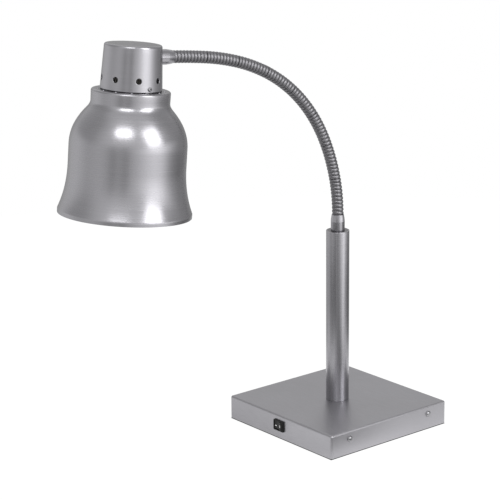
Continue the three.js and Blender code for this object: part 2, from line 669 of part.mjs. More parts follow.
function along(start, bend, distance) {
  const turn = (bend * distance) / linkLength;
  if (Math.abs(turn) < 1e-9) {
    return straight(start, distance);
  }
  const radius = distance / turn;
  const angle = start.angle + turn;
  return {
    y: start.y + radius * (Math.cos(angle) - Math.cos(start.angle)),
    z: start.z + radius * (Math.sin(angle) - Math.sin(start.angle)),
    angle,
  };
}

function neckRing(station, radius, sides) {
  const out = [];
  for (let i = 0; i < sides; i += 1) {
    const turn = ((i + 0.5) / sides) * Math.PI * 2;
    const across = radius * Math.sin(turn);
    const y = station.y + across * Math.cos(station.angle);
    const z = station.z + across * Math.sin(station.angle);
    out.push([radius * Math.cos(turn), y, z]);
  }
  return out;
}

// A closed tube through rings of equal size: outer rings in order, and bore rings or solid ends
function ringed(outer, bore, sides) {
  const rings = bore ? [...outer, ...bore.slice().reverse()] : outer;
  const positions = rings.flat(2);
  const index = [];
  const band = (a, b) => {
    for (let i = 0; i < sides; i += 1) {
      const j = (i + 1) % sides;
      index.push(a * sides + i, a * sides + j, b * sides + j, a * sides + i, b * sides + j, b * sides + i);
    }
  };
  for (let r = 0; r + 1 < rings.length; r += 1) band(r, r + 1);
  if (bore) band(rings.length - 1, 0);
  else {
    for (let i = 1; i + 1 < sides; i += 1) {
      const last = (rings.length - 1) * sides;
      index.push(0, i + 1, i, last, last + i, last + i + 1);
    }
  }
  const geometry = new THREE.BufferGeometry();
  geometry.setAttribute('position', new THREE.Float32BufferAttribute(positions, 3));
  geometry.setIndex(index);
  return geometry;
}

const rimPlay = (radius) => radius * Math.sin(radians(LINK_PLAY)) / 2 + 0.06;

function makeLink(start, bendDegrees, first, last) {
  const bend = radians(bendDegrees);
  const at = (distance) => along(start, bend, distance);
  const open = (distance, radius) => {
    if (distance === 0 && !first) return at(rimPlay(radius));
    if (distance === linkLength && !last) return at(linkLength - rimPlay(radius));
    return at(distance);
  };
  const outer = [];
  for (let rib = 0; rib <= RIBS_PER_LINK; rib += 1) {
    outer.push(neckRing(open(rib * RIB_PITCH, RIB_GROOVE_RADIUS), RIB_GROOVE_RADIUS, NECK_SIDES));
    if (rib < RIBS_PER_LINK) outer.push(neckRing(at((rib + 0.5) * RIB_PITCH), RIB_CREST_RADIUS, NECK_SIDES));
  }
  const bore = [];
  const boreSteps = Math.ceil(RIBS_PER_LINK / RIBS_PER_BORE_RING);
  for (let i = 0; i <= boreSteps; i += 1) {
    bore.push(neckRing(open((i / boreSteps) * linkLength, NECK_BORE_RADIUS), NECK_BORE_RADIUS, NECK_SIDES));
  }
  if (first) addCuff(outer, bore, at(0), -1);
  if (last) addCuff(outer, bore, at(linkLength), 1);
  return ringed(outer, bore, NECK_SIDES);
}

// The plain straight end that sits in a ferrule
function addCuff(outer, bore, end, direction) {
  const far = straight(end, direction * CUFF_LENGTH);
  const cuff = [neckRing(end, CUFF_RADIUS, NECK_SIDES), neckRing(far, CUFF_RADIUS, NECK_SIDES)];
  const inner = neckRing(far, NECK_BORE_RADIUS, NECK_SIDES);
  if (direction < 0) {
    outer.splice(0, 1, ...cuff.reverse());
    bore.unshift(inner);
  } else {
    outer.splice(outer.length - 1, 1, ...cuff);
    bore.push(inner);
  }
}

function straight(station, distance) {
  return {
    y: station.y - Math.sin(station.angle) * distance,
    z: station.z + Math.cos(station.angle) * distance,
    angle: station.angle,
  };
}

function makeLeadPiece(start, bendDegrees, from, to) {
  const rings = [];
  for (let i = 0; i <= 2; i += 1) {
    const station = along(start, radians(bendDegrees), from + ((to - from) * i) / 2);
    rings.push(neckRing(station, LEAD_RADIUS, NECK_SIDES));
  }
  return ringed(rings, null, NECK_SIDES);
}

function makeNeck(parent, places) {
  LINK_BENDS.forEach((bend, i) => {
    const last = i === LINK_BENDS.length - 1;
    add(parent, `neck_link_${i + 1}`, makeLink(places[i], bend, i === 0, last), platedSteel);
    if (i === 0 || last) return;
    const play = rimPlay(LEAD_RADIUS);
    add(parent, `neck_lead_${i + 1}`, makeLeadPiece(places[i], bend, play, linkLength - play), silicone);
  });
}

// The lead from the terminal block up the post and into the first link
function makeBaseLead(parent, places) {
  const rings = [];
  const flat = wireZ() - trayTop > LEAD_RADIUS ? wireZ() : trayTop + LEAD_RADIUS + SEAT_GAP;
  const start = blockX - BLOCK_LENGTH / 2 - SEAT_GAP;
  const bendRadius = studEnd - flat;
  rings.push(leadRing(start, flat, Math.PI / 2));
  for (let i = 0; i <= 4; i += 1) {
    const turn = (i / 4) * (Math.PI / 2);
    const x = bendRadius * (1 - Math.sin(turn));
    rings.push(leadRing(x, flat + bendRadius * (1 - Math.cos(turn)), Math.PI / 2 - turn));
  }
  rings.push(leadRing(0, neckStart, 0));
  const end = linkLength - rimPlay(LEAD_RADIUS);
  for (let i = 1; i <= 3; i += 1) {
    rings.push(neckRing(along(places[0], radians(LINK_BENDS[0]), (end * i) / 3), LEAD_RADIUS, NECK_SIDES));
  }
  add(parent, 'base_lead', ringed(rings, null, NECK_SIDES), silicone);
}

// A ring of the lead in the XZ plane, its direction leaning from the vertical towards -X
function leadRing(x, z, lean) {
  const out = [];
  for (let i = 0; i < NECK_SIDES; i += 1) {
    const turn = ((i + 0.5) / NECK_SIDES) * Math.PI * 2;
    const across = LEAD_RADIUS * Math.cos(turn);
    out.push([x + across * Math.cos(lean), LEAD_RADIUS * Math.sin(turn), z + across * Math.sin(lean)]);
  }
  return out;
}

// Head, in a group on the shade's own axis: its origin in the mouth, +Y towards the post

const capTaper = (CAP_TOP_RADIUS - CAP_BOTTOM_RADIUS) / CAP_HEIGHT;
const capRadius = (height) => CAP_BOTTOM_RADIUS + capTaper * (height - capBottom);
const ferruleSeat = () => capRadius(ferruleAxis - FERRULE_RADIUS) + SEAT_GAP;

function shadePath() {
  const path = new THREE.Path();
  path.moveTo(shadeMouthRadius, 0);
  path.lineTo(shadeMouthRadius, SHADE_LIP);
  const flare = SHADE_FLARE_TOP - SHADE_LIP;
  path.bezierCurveTo(
    shadeMouthRadius - SHADE_FLARE * 0.39, SHADE_LIP + flare * 0.19,
    shadeBodyRadius + SHADE_FLARE * 0.03, SHADE_LIP + flare * 0.5,
    shadeBodyRadius, SHADE_FLARE_TOP,
  );
  path.lineTo(shadeBodyRadius, SHADE_DOME_START);
  const rise = SHADE_DOME_END - SHADE_DOME_START;
  const draw = shadeBodyRadius - SHADE_DOME_END_RADIUS;
  path.bezierCurveTo(
    shadeBodyRadius, SHADE_DOME_START + rise * 0.376,
    shadeBodyRadius - draw * 0.337, SHADE_DOME_START + rise * 0.682,
    SHADE_DOME_END_RADIUS, SHADE_DOME_END,
  );
  path.quadraticCurveTo(
    SHADE_COLLAR_RADIUS - 0.2, SHADE_DOME_END + (SHADE_DOME_END_RADIUS - SHADE_COLLAR_RADIUS) * 1.1,
    SHADE_COLLAR_RADIUS - 0.2, SHADE_COLLAR_START,
  );
  path.lineTo(SHADE_COLLAR_RADIUS, SHADE_TOP - SHADE_COLLAR_EDGE);
  path.quadraticCurveTo(SHADE_COLLAR_RADIUS, SHADE_TOP, SHADE_COLLAR_RADIUS - SHADE_COLLAR_EDGE, SHADE_TOP);
  path.lineTo(HOLDER_THREAD_RADIUS + BORE_GAP, SHADE_TOP);
  return path;
}

function makeShade() {
  const outline = sheet(shadePath(), SHADE_WALL, 4).map((p) => [p.x, p.y]);
  const shell = solid(turned([...outline, outline[0]], 36));
  const pips = [];
  for (let i = 0; i < PIP_COUNT; i += 1) {
    const angle = Math.PI + (i / PIP_COUNT) * Math.PI * 2;
    const pip = dome(PIP_RADIUS, PIP_HEIGHT + 0.2, 6, 2);
    const [x, y] = [PIP_CIRCLE_RADIUS * Math.sin(angle), PIP_CIRCLE_RADIUS * Math.cos(angle)];
    pips.push(pip.translate(x, y, SHADE_TOP - 0.2));
  }
  return join(shell, ...pips);
}

function makeCap() {
  const path = new THREE.Path();
  path.moveTo(CAP_BOTTOM_RADIUS, capBottom);
  const edge = capRadius(capTop - CAP_EDGE);
  path.lineTo(edge, capTop - CAP_EDGE);
  path.quadraticCurveTo(capRadius(capTop), capTop, edge - CAP_EDGE, capTop);
  path.lineTo(0, capTop);
  const outline = sheet(path, CAP_WALL, 3).map((p) => [Math.max(p.x, 0), p.y]);
  outline.push(outline[0]);
  const shell = solid(turned(outline, 36));
  const through = 3 * CAP_WALL + 2;
  const radial = (radius, height, angle, sides) => {
    const drill = toY(cylinder(radius, through, sides)).translate(0, capRadius(height) - through / 2, height);
    return drill.rotateZ(-angle);
  };
  const tools = [];
  for (let i = 0; i < VENT_COUNT; i += 1) {
    const angle = ((i + 0.5) / VENT_COUNT) * Math.PI * 2;
    tools.push(radial(VENT_RADIUS, capBottom + VENT_HEIGHT, angle, 12));
  }
  tools.push(radial(STUD_RADIUS + BORE_GAP, ferruleAxis, 0, 20));
  for (const side of [0.5, 1.5]) {
    tools.push(radial(CAP_SCREW_RADIUS + BORE_GAP, capBottom + CAP_SCREW_HEIGHT, Math.PI * side, 12));
  }
  return cut(shell, ...tools);
}

const earOuter = () => {
  const wall = capRadius(bracketBottom + BRACKET_EAR_HEIGHT) - CAP_WALL - BORE_GAP;
  return Math.sqrt(wall * wall - (BRACKET_EAR_WIDTH / 2) ** 2) - 0.2;
};

function makeCapBracket() {
  const plate = ring(HOLDER_THREAD_RADIUS + BORE_GAP, BRACKET_RADIUS, bracketBottom, bracketTop);
  const ears = [];
  for (const side of [-1, 1]) {
    const reach = earOuter() - BRACKET_RADIUS + 4;
    const foot = box(reach, BRACKET_EAR_WIDTH, BRACKET_THICKNESS);
    ears.push(foot.translate(side * (earOuter() - reach / 2), 0, bracketBottom));
    const ear = box(BRACKET_THICKNESS, BRACKET_EAR_WIDTH, BRACKET_EAR_HEIGHT);
    ears.push(ear.translate(side * (earOuter() - BRACKET_THICKNESS / 2), 0, bracketBottom));
  }
  const through = 2 * CAP_BOTTOM_RADIUS;
  const hole = toX(cylinder(CAP_SCREW_RADIUS + BORE_GAP, through, 12));
  hole.translate(-through / 2, 0, capBottom + CAP_SCREW_HEIGHT);
  return cut(join(solid(plate), ...ears), hole);
}

function addCapScrews(parent) {
  const seat = capRadius(capBottom + CAP_SCREW_HEIGHT - CAP_SCREW_HEAD_RADIUS) + SEAT_GAP;
  [-1, 1].forEach((side, i) => {
    const head = [CAP_SCREW_HEAD_RADIUS, CAP_SCREW_HEAD_HEIGHT];
    const screw = makeScrew(side, ...head, CAP_SCREW_RADIUS, CAP_SCREW_LENGTH);
    screw.translate(side * seat, 0, capBottom + CAP_SCREW_HEIGHT);
    add(parent, `cap_screw_${i + 1}`, screw, platedSteel);
  });
}

function makeFerruleNut() {
  const corner = NUT_RADIUS;
  const wall = capRadius(ferruleAxis) - CAP_WALL;
  const face = Math.sqrt(wall * wall - corner * corner) - SEAT_GAP;
  const thickness = NUT_THICKNESS - 1;
  const nut = toY(cylinder(NUT_RADIUS, thickness, 6)).translate(0, face - thickness, ferruleAxis);
  const hole = toY(cylinder(STUD_RADIUS + BORE_GAP, thickness + 2));
  hole.translate(0, face - thickness - 1, ferruleAxis);
  return cut(solid(nut), hole);
}

function makeHolder(parent) {
  const top = flangeSeat + HOLDER_HEIGHT;
  const bottom = flangeSeat - HOLDER_SKIRT;
  const floor = holderFloor;
  add(parent, 'lampholder_body', turned([
    [0, floor], [HOLDER_BORE_RADIUS, floor], [HOLDER_BORE_RADIUS, bottom], [HOLDER_THREAD_RADIUS, bottom],
    [HOLDER_THREAD_RADIUS, flangeSeat], [HOLDER_FLANGE_RADIUS, flangeSeat],
    [HOLDER_FLANGE_RADIUS, flangeSeat + HOLDER_FLANGE_THICKNESS - 1],
    [HOLDER_FLANGE_RADIUS - 1, flangeSeat + HOLDER_FLANGE_THICKNESS],
    [HOLDER_BODY_RADIUS, flangeSeat + HOLDER_FLANGE_THICKNESS + 0.6], [HOLDER_BODY_RADIUS, floor - 8],
    [HOLDER_NECK_RADIUS, floor - 3], [HOLDER_NECK_RADIUS, top - 5], [HOLDER_CROWN_RADIUS, top], [0, top],
  ]), porcelain);
  const ringTop = plateBottom - SEAT_GAP;
  const clamp = ring(HOLDER_THREAD_RADIUS + BORE_GAP, RING_RADIUS, ringTop - RING_THICKNESS, ringTop);
  add(parent, 'shade_ring', clamp, porcelain);
  const shellTop = floor - 3;
  const shellOuter = HOLDER_BORE_RADIUS - BORE_GAP - THREAD_DEPTH / 2;
  const shell = threadedSleeve(shellOuter, SHELL_WALL, shellTop - SHELL_LENGTH, shellTop);
  add(parent, 'lampholder_shell', shell, brass);
  const tongue = new THREE.Shape();
  tongue.moveTo(-8, floor - SEAT_GAP);
  tongue.lineTo(-8, floor - SEAT_GAP - 0.5);
  tongue.lineTo(-3, floor - SEAT_GAP - 0.5);
  tongue.lineTo(1, bulbTip + SEAT_GAP);
  tongue.lineTo(3, bulbTip + SEAT_GAP);
  tongue.lineTo(3, bulbTip + SEAT_GAP + 0.5);
  tongue.lineTo(1.3, bulbTip + SEAT_GAP + 0.5);
  tongue.lineTo(-2.7, floor - SEAT_GAP);
  add(parent, 'lampholder_contact', extruded(tongue, 6).rotateX(Math.PI / 2).translate(0, 3, 0), brass);
}

// A thin sleeve rolled into rounded thread waves
function threadedSleeve(outer, wall, bottom, top) {
  const waves = Math.max(1, Math.floor((top - bottom - 3) / THREAD_PITCH));
  const start = top - waves * THREAD_PITCH;
  const edge = [[outer, bottom]];
  for (let i = 0; i <= waves * 2; i += 1) {
    const swing = i % 2 === 0 ? -THREAD_DEPTH : THREAD_DEPTH;
    edge.push([outer + swing / 2, start + (i * THREAD_PITCH) / 2]);
  }
  const inner = edge.map(([radius, height]) => [radius - wall, height]).reverse();
  return turned([...edge, ...inner, edge[0]], 16);
}

function makeHeadLead(parent, places) {
  const last = LINK_BENDS.length - 1;
  const seat = ferruleSeat();
  const spigotEnd = seat - SPIGOT_LENGTH;
  const top = flangeSeat + HOLDER_HEIGHT;
  const rings = [];
  const height = top + SEAT_GAP + LEAD_RADIUS + 0.3;
  const inside = [
    { y: 4, z: height, angle: 90 }, { y: 11, z: height, angle: 90 }, { y: 16.6, z: height - 1.7, angle: 55 },
    { y: 19.9, z: height - 5.6, angle: 24 }, { y: 21.6, z: ferruleAxis + 2.2, angle: 35 },
    { y: spigotEnd + 0.4, z: ferruleAxis, angle: 90 },
  ];
  inside.push({ y: seat + FERRULE_LENGTH, z: ferruleAxis, angle: 90 });
  for (const { y, z, angle } of inside) {
    rings.push(neckRing({ y, z, angle: radians(-180 + angle) }, LEAD_RADIUS, NECK_SIDES));
  }
  const toHead = (station) => headPoint(station, places);
  const bend = radians(LINK_BENDS[last]);
  for (const share of [0.66, 0.33, 0]) {
    const distance = Math.max(linkLength * share, rimPlay(LEAD_RADIUS));
    const station = toHead(along(places[last], bend, distance));
    rings.push(neckRing({ ...station, angle: station.angle - Math.PI }, LEAD_RADIUS, NECK_SIDES));
  }
  add(parent, 'head_lead', ringed(rings, null, NECK_SIDES), silicone);
}

// A station of the neck in the head group's own frame
function headPoint(station, places) {
  const pose = headPose(places);
  const [dy, dz] = [station.y - pose.y, station.z - pose.z];
  const [c, s] = [Math.cos(pose.tilt), Math.sin(pose.tilt)];
  return { y: dy * c - dz * s, z: dy * s + dz * c, angle: station.angle + pose.tilt };
}

function headPose(places) {
  const end = places[places.length - 1];
  const tilt = Math.PI / 2 - end.angle;
  const out = ferruleSeat() + FERRULE_LENGTH;
  const [c, s] = [Math.cos(tilt), Math.sin(tilt)];
  return { y: end.y - out * c - ferruleAxis * s, z: end.z + out * s - ferruleAxis * c, tilt };
}

// Bulb

function bulbPath() {
  const girth = bulbFace + BULB_GIRTH;
  const neck = bulbTip - BULB_CONTACT_HEIGHT - BULB_INSULATOR_HEIGHT - BULB_BASE_LENGTH + 3;
  const throat = neck - BULB_THROAT_DROP;
  const rise = throat - girth;
  const draw = BULB_RADIUS - BULB_THROAT_RADIUS;
  const shoulder = throat + BULB_THROAT_LENGTH;
  const drop = BULB_THROAT_RADIUS - BULB_NECK_RADIUS;
  const path = new THREE.Path();
  path.moveTo(0, bulbFace);
  const cheek = bulbFace + BULB_GIRTH * 0.42;
  path.bezierCurveTo(BULB_RADIUS * 0.56, bulbFace, BULB_RADIUS, cheek, BULB_RADIUS, girth);
  path.bezierCurveTo(
    BULB_RADIUS, girth + rise * 0.4,
    BULB_THROAT_RADIUS + draw * 0.18, throat - rise * 0.28,
    BULB_THROAT_RADIUS + 0.4, throat,
  );
  path.lineTo(BULB_THROAT_RADIUS, shoulder);
  path.quadraticCurveTo(BULB_THROAT_RADIUS, shoulder + drop * 1.3, BULB_NECK_RADIUS, shoulder + drop * 1.7);
  path.lineTo(BULB_NECK_RADIUS, neck + BULB_NECK_LENGTH);
  return { path, neck };
}

function makeBulb(parent) {
  const { path, neck } = bulbPath();
  const outline = sheet(path, BULB_WALL, 3).map((p) => [Math.max(p.x, 0), p.y]);
  add(parent, 'bulb_envelope', turned(outline, 24), rubyGlass);
  const baseTopHeight = bulbTip - BULB_CONTACT_HEIGHT - BULB_INSULATOR_HEIGHT;
  const skirt = neck + 1.2;
  const sleeveRadius = BULB_BASE_RADIUS - THREAD_DEPTH / 2;
  const sleeve = threadedSleeve(sleeveRadius, BULB_BASE_WALL, skirt, baseTopHeight - 0.6);
  add(parent, 'bulb_screw_base', sleeve, brass);
  const seal = BULB_BASE_RADIUS - THREAD_DEPTH - BULB_BASE_WALL - BORE_GAP;
  const sealTop = baseTopHeight + BULB_INSULATOR_HEIGHT - SEAT_GAP;
  add(parent, 'bulb_insulator', turned([
    [0, baseTopHeight - 2.4], [seal, baseTopHeight - 2.4], [seal, baseTopHeight],
    [BULB_CONTACT_RADIUS + 0.8, sealTop], [0, sealTop],
  ], 24), vitrite);
  const contactBottom = bulbTip - BULB_CONTACT_HEIGHT;
  add(parent, 'bulb_contact', turned([
    [0, contactBottom], [BULB_CONTACT_RADIUS, contactBottom],
    [BULB_CONTACT_RADIUS, (contactBottom + bulbTip) / 2], [BULB_CONTACT_RADIUS * 0.6, bulbTip], [0, bulbTip],
  ], 16), brass);
  const stemTop = neck + BULB_NECK_LENGTH - 1;
  const stemEnd = stemTop - STEM_LENGTH;
  const flare = BULB_NECK_RADIUS - BULB_WALL - BORE_GAP;
  add(parent, 'bulb_stem', turned([
    [0, stemEnd], [STEM_RADIUS, stemEnd], [STEM_RADIUS, stemTop - 14],
    [flare, stemTop - 2], [flare, stemTop], [0, stemTop],
  ], 16), clearGlass);
  const wire = FILAMENT_RADIUS + SEAT_GAP;
  const drop = stemEnd - wire;
  add(parent, 'bulb_filament', tube([
    [-STEM_RADIUS + 1, 0, drop], [-FILAMENT_SPREAD * 0.6, 0, drop - 8], [-FILAMENT_SPREAD, 0, drop - 14],
    [-FILAMENT_SPREAD * 0.7, -FILAMENT_SPREAD * 0.7, drop - 15], [0, -FILAMENT_SPREAD, drop - 15],
    [FILAMENT_SPREAD * 0.7, -FILAMENT_SPREAD * 0.7, drop - 15], [FILAMENT_SPREAD, 0, drop - 14],
    [FILAMENT_SPREAD * 0.6, 0, drop - 8], [STEM_RADIUS - 1, 0, drop],
  ], FILAMENT_RADIUS, 20, 5), platedSteel);
}

// Assembly

const lamp = new THREE.Group();
const places = stations();
makeBase(lamp);
makeSwitch(lamp);
makeGland(lamp);
makeTerminalBlock(lamp);
makeBaseWires(lamp);
makePost(lamp);
add(group(lamp, 0, 0, postTop + SEAT_GAP), 'lower_ferrule', makeFerrule(), platedSteel);
makeNeck(lamp, places);
makeBaseLead(lamp, places);

const pose = headPose(places);
const head = group(lamp, 0, pose.y, pose.z, -pose.tilt);
add(group(head, 0, ferruleSeat(), ferruleAxis, -Math.PI / 2), 'upper_ferrule', makeFerrule(), platedSteel);
add(head, 'ferrule_nut', makeFerruleNut(), platedSteel);
add(head, 'cap', makeCap(), brushedSteel);
addCapScrews(head);
add(head, 'cap_bracket', makeCapBracket(), platedSteel);
add(head, 'shade', makeShade(), brushedSteel);
makeHolder(head);
makeHeadLead(head, places);
makeBulb(head);

export default lamp;
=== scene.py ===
import math

import bmesh
import bpy
import numpy as np
from mathutils import Matrix


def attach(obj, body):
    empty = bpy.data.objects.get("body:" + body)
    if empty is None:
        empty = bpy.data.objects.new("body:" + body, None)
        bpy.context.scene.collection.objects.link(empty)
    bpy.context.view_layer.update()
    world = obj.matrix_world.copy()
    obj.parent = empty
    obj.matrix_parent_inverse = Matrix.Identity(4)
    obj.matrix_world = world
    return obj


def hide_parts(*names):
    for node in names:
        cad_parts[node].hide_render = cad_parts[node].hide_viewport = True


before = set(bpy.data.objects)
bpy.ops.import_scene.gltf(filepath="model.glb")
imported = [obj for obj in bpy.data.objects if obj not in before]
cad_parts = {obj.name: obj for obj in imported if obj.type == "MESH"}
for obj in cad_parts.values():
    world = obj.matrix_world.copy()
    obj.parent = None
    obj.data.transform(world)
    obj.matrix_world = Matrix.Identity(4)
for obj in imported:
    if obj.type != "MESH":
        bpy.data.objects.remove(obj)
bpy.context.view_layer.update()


# Camera. The lamp is seen from its switch side and turned to the right, from a little above its middle
# and 2.4 m away, through a long lens that keeps the base's edges nearly parallel.

CAMERA_PLACE = np.array([1.7203, -1.5497, 0.8691])
CAMERA_RIGHT = np.array([0.6345, 0.7729, -0.0102])
CAMERA_UP = np.array([-0.1984, 0.1755, 0.9643])
CAMERA_LENS = 134.26


def added(name, data):
    """A new object in the scene."""
    made = bpy.data.objects.new(name, data)
    bpy.context.scene.collection.objects.link(made)
    return made


towards_camera = np.cross(CAMERA_RIGHT, CAMERA_UP)
camera = added("camera", bpy.data.cameras.new("camera"))
camera.data.lens = CAMERA_LENS
camera.data.sensor_width = 36
camera.data.clip_end = 60
turn = np.column_stack([CAMERA_RIGHT, CAMERA_UP, towards_camera])
camera.matrix_world = Matrix(np.vstack([np.column_stack([turn, CAMERA_PLACE]), [0, 0, 0, 1]]).tolist())
bpy.context.scene.camera = camera


# Studio. A dark table under white paper and a white room, with a tall light on the right, a softbox above
# the camera, and greyer stretches of wall between them, which the steel shows as soft bands.


class Level:
    """A number or colour that a node gives, with Python's operators adding Math nodes to it."""

    def __init__(self, nodes, socket):
        self.nodes = nodes
        self.socket = socket

    def maths(self, operation, *values):
        return self.nodes.node("ShaderNodeMath", {"operation": operation}, dict(enumerate(values)))

    def __add__(self, other):
        return self.maths("ADD", self, other)

    def __mul__(self, other):
        return self.maths("MULTIPLY", self, other)

    def __sub__(self, other):
        return self.maths("SUBTRACT", self, other)

    def __rsub__(self, other):
        return self.maths("SUBTRACT", other, self)

    def __truediv__(self, other):
        return self.maths("DIVIDE", self, other)

    def __pow__(self, other):
        return self.maths("POWER", self, other)

    def __abs__(self):
        return self.maths("ABSOLUTE", self)

    def rise(self, start, end):
        """0 below start, 1 above end, and an S-shaped rise between them."""
        sockets = {"Value": self, "From Min": start, "From Max": end}
        return self.nodes.node("ShaderNodeMapRange", {"interpolation_type": "SMOOTHSTEP"}, sockets)


flat_camera = towards_camera[:2] / np.linalg.norm(towards_camera[:2])


class Nodes:
    """The nodes of one material or world."""

    def __init__(self, owner):
        owner.use_nodes = True
        self.owner = owner
        self.tree = owner.node_tree

    def node(self, kind, settings=None, sockets=None, output=0):
        """A new node: its settings first (a ramp's stops among them), then values or links for its sockets."""
        made = self.tree.nodes.new(kind)
        for name, value in (settings or {}).items():
            if name == "stops":
                while len(made.color_ramp.elements) < len(value):
                    made.color_ramp.elements.new(1)
                for stop, (position, colour) in zip(made.color_ramp.elements, value):
                    stop.position = position
                    stop.color = (*colour, 1)
            else:
                setattr(made, name, value)
        for name, value in (sockets or {}).items():
            self.put(made.inputs[name], value)
        return Level(self, made.outputs[output])

    def put(self, socket, value):
        if isinstance(value, Level):
            self.tree.links.new(value.socket, socket)
        else:
            socket.default_value = value

    def finish(self, shader):
        """Sends a shader to the output instead of the one that was there."""
        ending = next(node for node in self.tree.nodes if node.bl_idname.startswith("ShaderNodeOutput"))
        self.put(ending.inputs["Surface"], shader)

    def split(self, vector):
        """The x, y and z of a vector."""
        first = self.node("ShaderNodeSeparateXYZ", None, {0: vector})
        return first, *(Level(self, first.socket.node.outputs[i]) for i in (1, 2))

    def rays(self):
        """Three numbers, 1 for a ray from the camera, from a mirroring surface, or through glass, and else 0."""
        paths = self.node("ShaderNodeLightPath").socket.node.outputs
        return (Level(self, paths[f"Is {kind} Ray"]) for kind in ("Camera", "Glossy", "Transmission"))

    def bearing(self, x, y):
        """The angle of (x, y) round the lamp, from the camera's side, positive to the camera's right."""
        ahead = x * flat_camera[0] + y * flat_camera[1]
        aside = y * flat_camera[0] - x * flat_camera[1]
        return ahead.maths("ARCTAN2", aside, ahead)

    def wall(self, angle, stops):
        """How bright the room is at each angle round the lamp: (degrees, brightness) stops."""
        grey = [((degrees + 180) / 360, (level / 2,) * 3) for degrees, level in stops]
        return self.node("ShaderNodeValToRGB", {"stops": grey}, {0: angle / math.tau + 0.5}) * 2


# How bright the wall mirrors at each bearing, low down, higher up, and where the tall light adds its glow. The
# pairs under them are heights of a direction, from 0 level to 1 upright, over which one passes into the next.
LOW_WALL = [
    (-180, 0.36), (-158, 0.42), (-134, 0.8), (-110, 0.96), (-95, 0.88), (-80, 0.75), (-65, 0.79), (-50, 0.85),
    (-38, 0.74), (-30, 0.6), (-25, 0.44), (-20, 0.58), (-15, 0.7), (-8, 0.64), (-3, 0.5), (2, 0.5), (7, 0.74),
    (14, 0.82), (24, 0.88), (34, 0.98), (55, 1.02), (72, 0.76), (84, 0.54), (96, 0.48), (112, 0.48), (145, 0.4),
    (180, 0.36),
]
HIGH_WALL = [
    (-180, 0.81), (-160, 0.8), (-125, 0.6), (-100, 0.55), (-75, 0.58), (-60, 0.75), (-45, 0.92), (-20, 1.0),
    (30, 0.96), (60, 0.97), (86, 0.74), (100, 0.58), (115, 0.52), (135, 0.54), (160, 0.78), (180, 0.81),
]
TALL_GLOW = [
    (-180, 0), (5, 0), (22, 0.28), (38, 0.75), (52, 1.35), (64, 1.65), (75, 1.5), (88, 0.9), (101, 0.35), (118, 0),
    (180, 0),
]
LOW_TO_HIGH = (0.1, 0.3)
HIGH_TO_CEILING = (0.8, 0.93)
GLOW_FROM = (-0.36, 0.05)
GLOW_TO = (0.02, 0.2)
CEILING = 0.86
ROOM_LIGHT = 0.6

world = bpy.data.worlds.new("studio")
bpy.context.scene.world = world
room = Nodes(world)
x, y, z = room.split(room.node("ShaderNodeTexCoord"))
angle = room.bearing(x, y)
low = room.wall(angle, LOW_WALL)
high = room.wall(angle, HIGH_WALL)
climb = z.rise(*LOW_TO_HIGH)
crown = z.rise(*HIGH_TO_CEILING)
tall_glow = room.wall(angle, TALL_GLOW) * z.rise(*GLOW_FROM) * (1 - z.rise(*GLOW_TO))
mirrored = low * (1 - climb) + high * climb + tall_glow
mirrored = mirrored * (1 - crown) + crown * CEILING
camera_ray, glossy_ray, clear_ray = room.rays()
backdrop = camera_ray.maths("MAXIMUM", camera_ray, clear_ray)
strength = backdrop + (1 - backdrop) * (glossy_ray * mirrored + (1 - glossy_ray) * ROOM_LIGHT)
room.put(world.node_tree.nodes["Background"].inputs["Strength"], strength)
world.node_tree.nodes["Background"].inputs["Color"].default_value = (1, 1, 1, 1)


def table_top(radius, sides=96):
    """A round flat table's mesh: the points (r cos a, r sin a, 0) of one circle."""
    turn = np.arange(sides) * math.tau / sides
    rim = np.stack([radius * np.cos(turn), radius * np.sin(turn), 0 * turn], -1)
    mesh = bpy.data.meshes.new("table")
    mesh.from_pydata(rim, [], [range(sides)])
    return mesh


# What the camera sees of the table, and how much of it is the table's own light for each kind of ray. The pairs
# are distances from the middle, in metres, over which one of the stretches under them passes into the next.
TABLE_RADIUS = 1.25
TABLE_SEEN = 1.06
SHARE_SEEN = 0.88
SHARE_GLOSSY = 0.95
SHARE_CLEAR = 0.8
UNDER_BASE = (0.0995, 0.1003)
BESIDE_TO_PAPER = (0.105, 0.17)
PAPER_TO_TABLE = (0.2, 0.4)
BESIDE_BASE = [
    (-180, 0.9), (-100, 0.9), (-60, 1.0), (-20, 1.1), (-5, 1.2), (15, 1.35), (90, 1.32), (120, 1.0), (180, 0.9),
]
PAPER_MIRRORED = [
    (-180, 1.1), (-100, 1.1), (-75, 1.13), (-47, 1.32), (-30, 1.2), (-14, 0.6), (4, 0.2), (28, 0.2), (42, 0.55),
    (60, 0.95), (90, 1.2), (180, 1.1),
]
TABLE_MIRRORED = [
    (-180, 0.6), (-130, 0.65), (-97, 0.6), (-70, 0.2), (-45, 0.18), (-20, 0.2), (0, 0.32), (20, 0.4), (38, 0.95),
    (55, 1.55), (67, 0.9), (80, 0.3), (95, 0.26), (115, 0.16), (150, 0.4), (180, 0.6),
]

table = added("table", table_top(TABLE_RADIUS))
white = Nodes(bpy.data.materials.new("white_table"))
camera_ray, glossy_ray, clear_ray = white.rays()
east, north, _ = white.split(white.node("ShaderNodeTexCoord", output=3))
angle = white.bearing(east, north)
outward = east.maths("MAXIMUM", abs(east), abs(north))
off_base = outward.rise(*BESIDE_TO_PAPER)
off_paper = outward.rise(*PAPER_TO_TABLE)
beside_base = white.wall(angle, BESIDE_BASE)
paper = white.wall(angle, PAPER_MIRRORED) * off_base + (1 - off_base) * beside_base
mirrored_table = white.wall(angle, TABLE_MIRRORED) * off_paper + (1 - off_paper) * paper
share = camera_ray * SHARE_SEEN + glossy_ray * SHARE_GLOSSY + clear_ray * SHARE_CLEAR
shine = (camera_ray + clear_ray) * TABLE_SEEN + glossy_ray * mirrored_table
matt = white.node("ShaderNodeBsdfDiffuse", None, {"Color": (1, 1, 1, 1)})
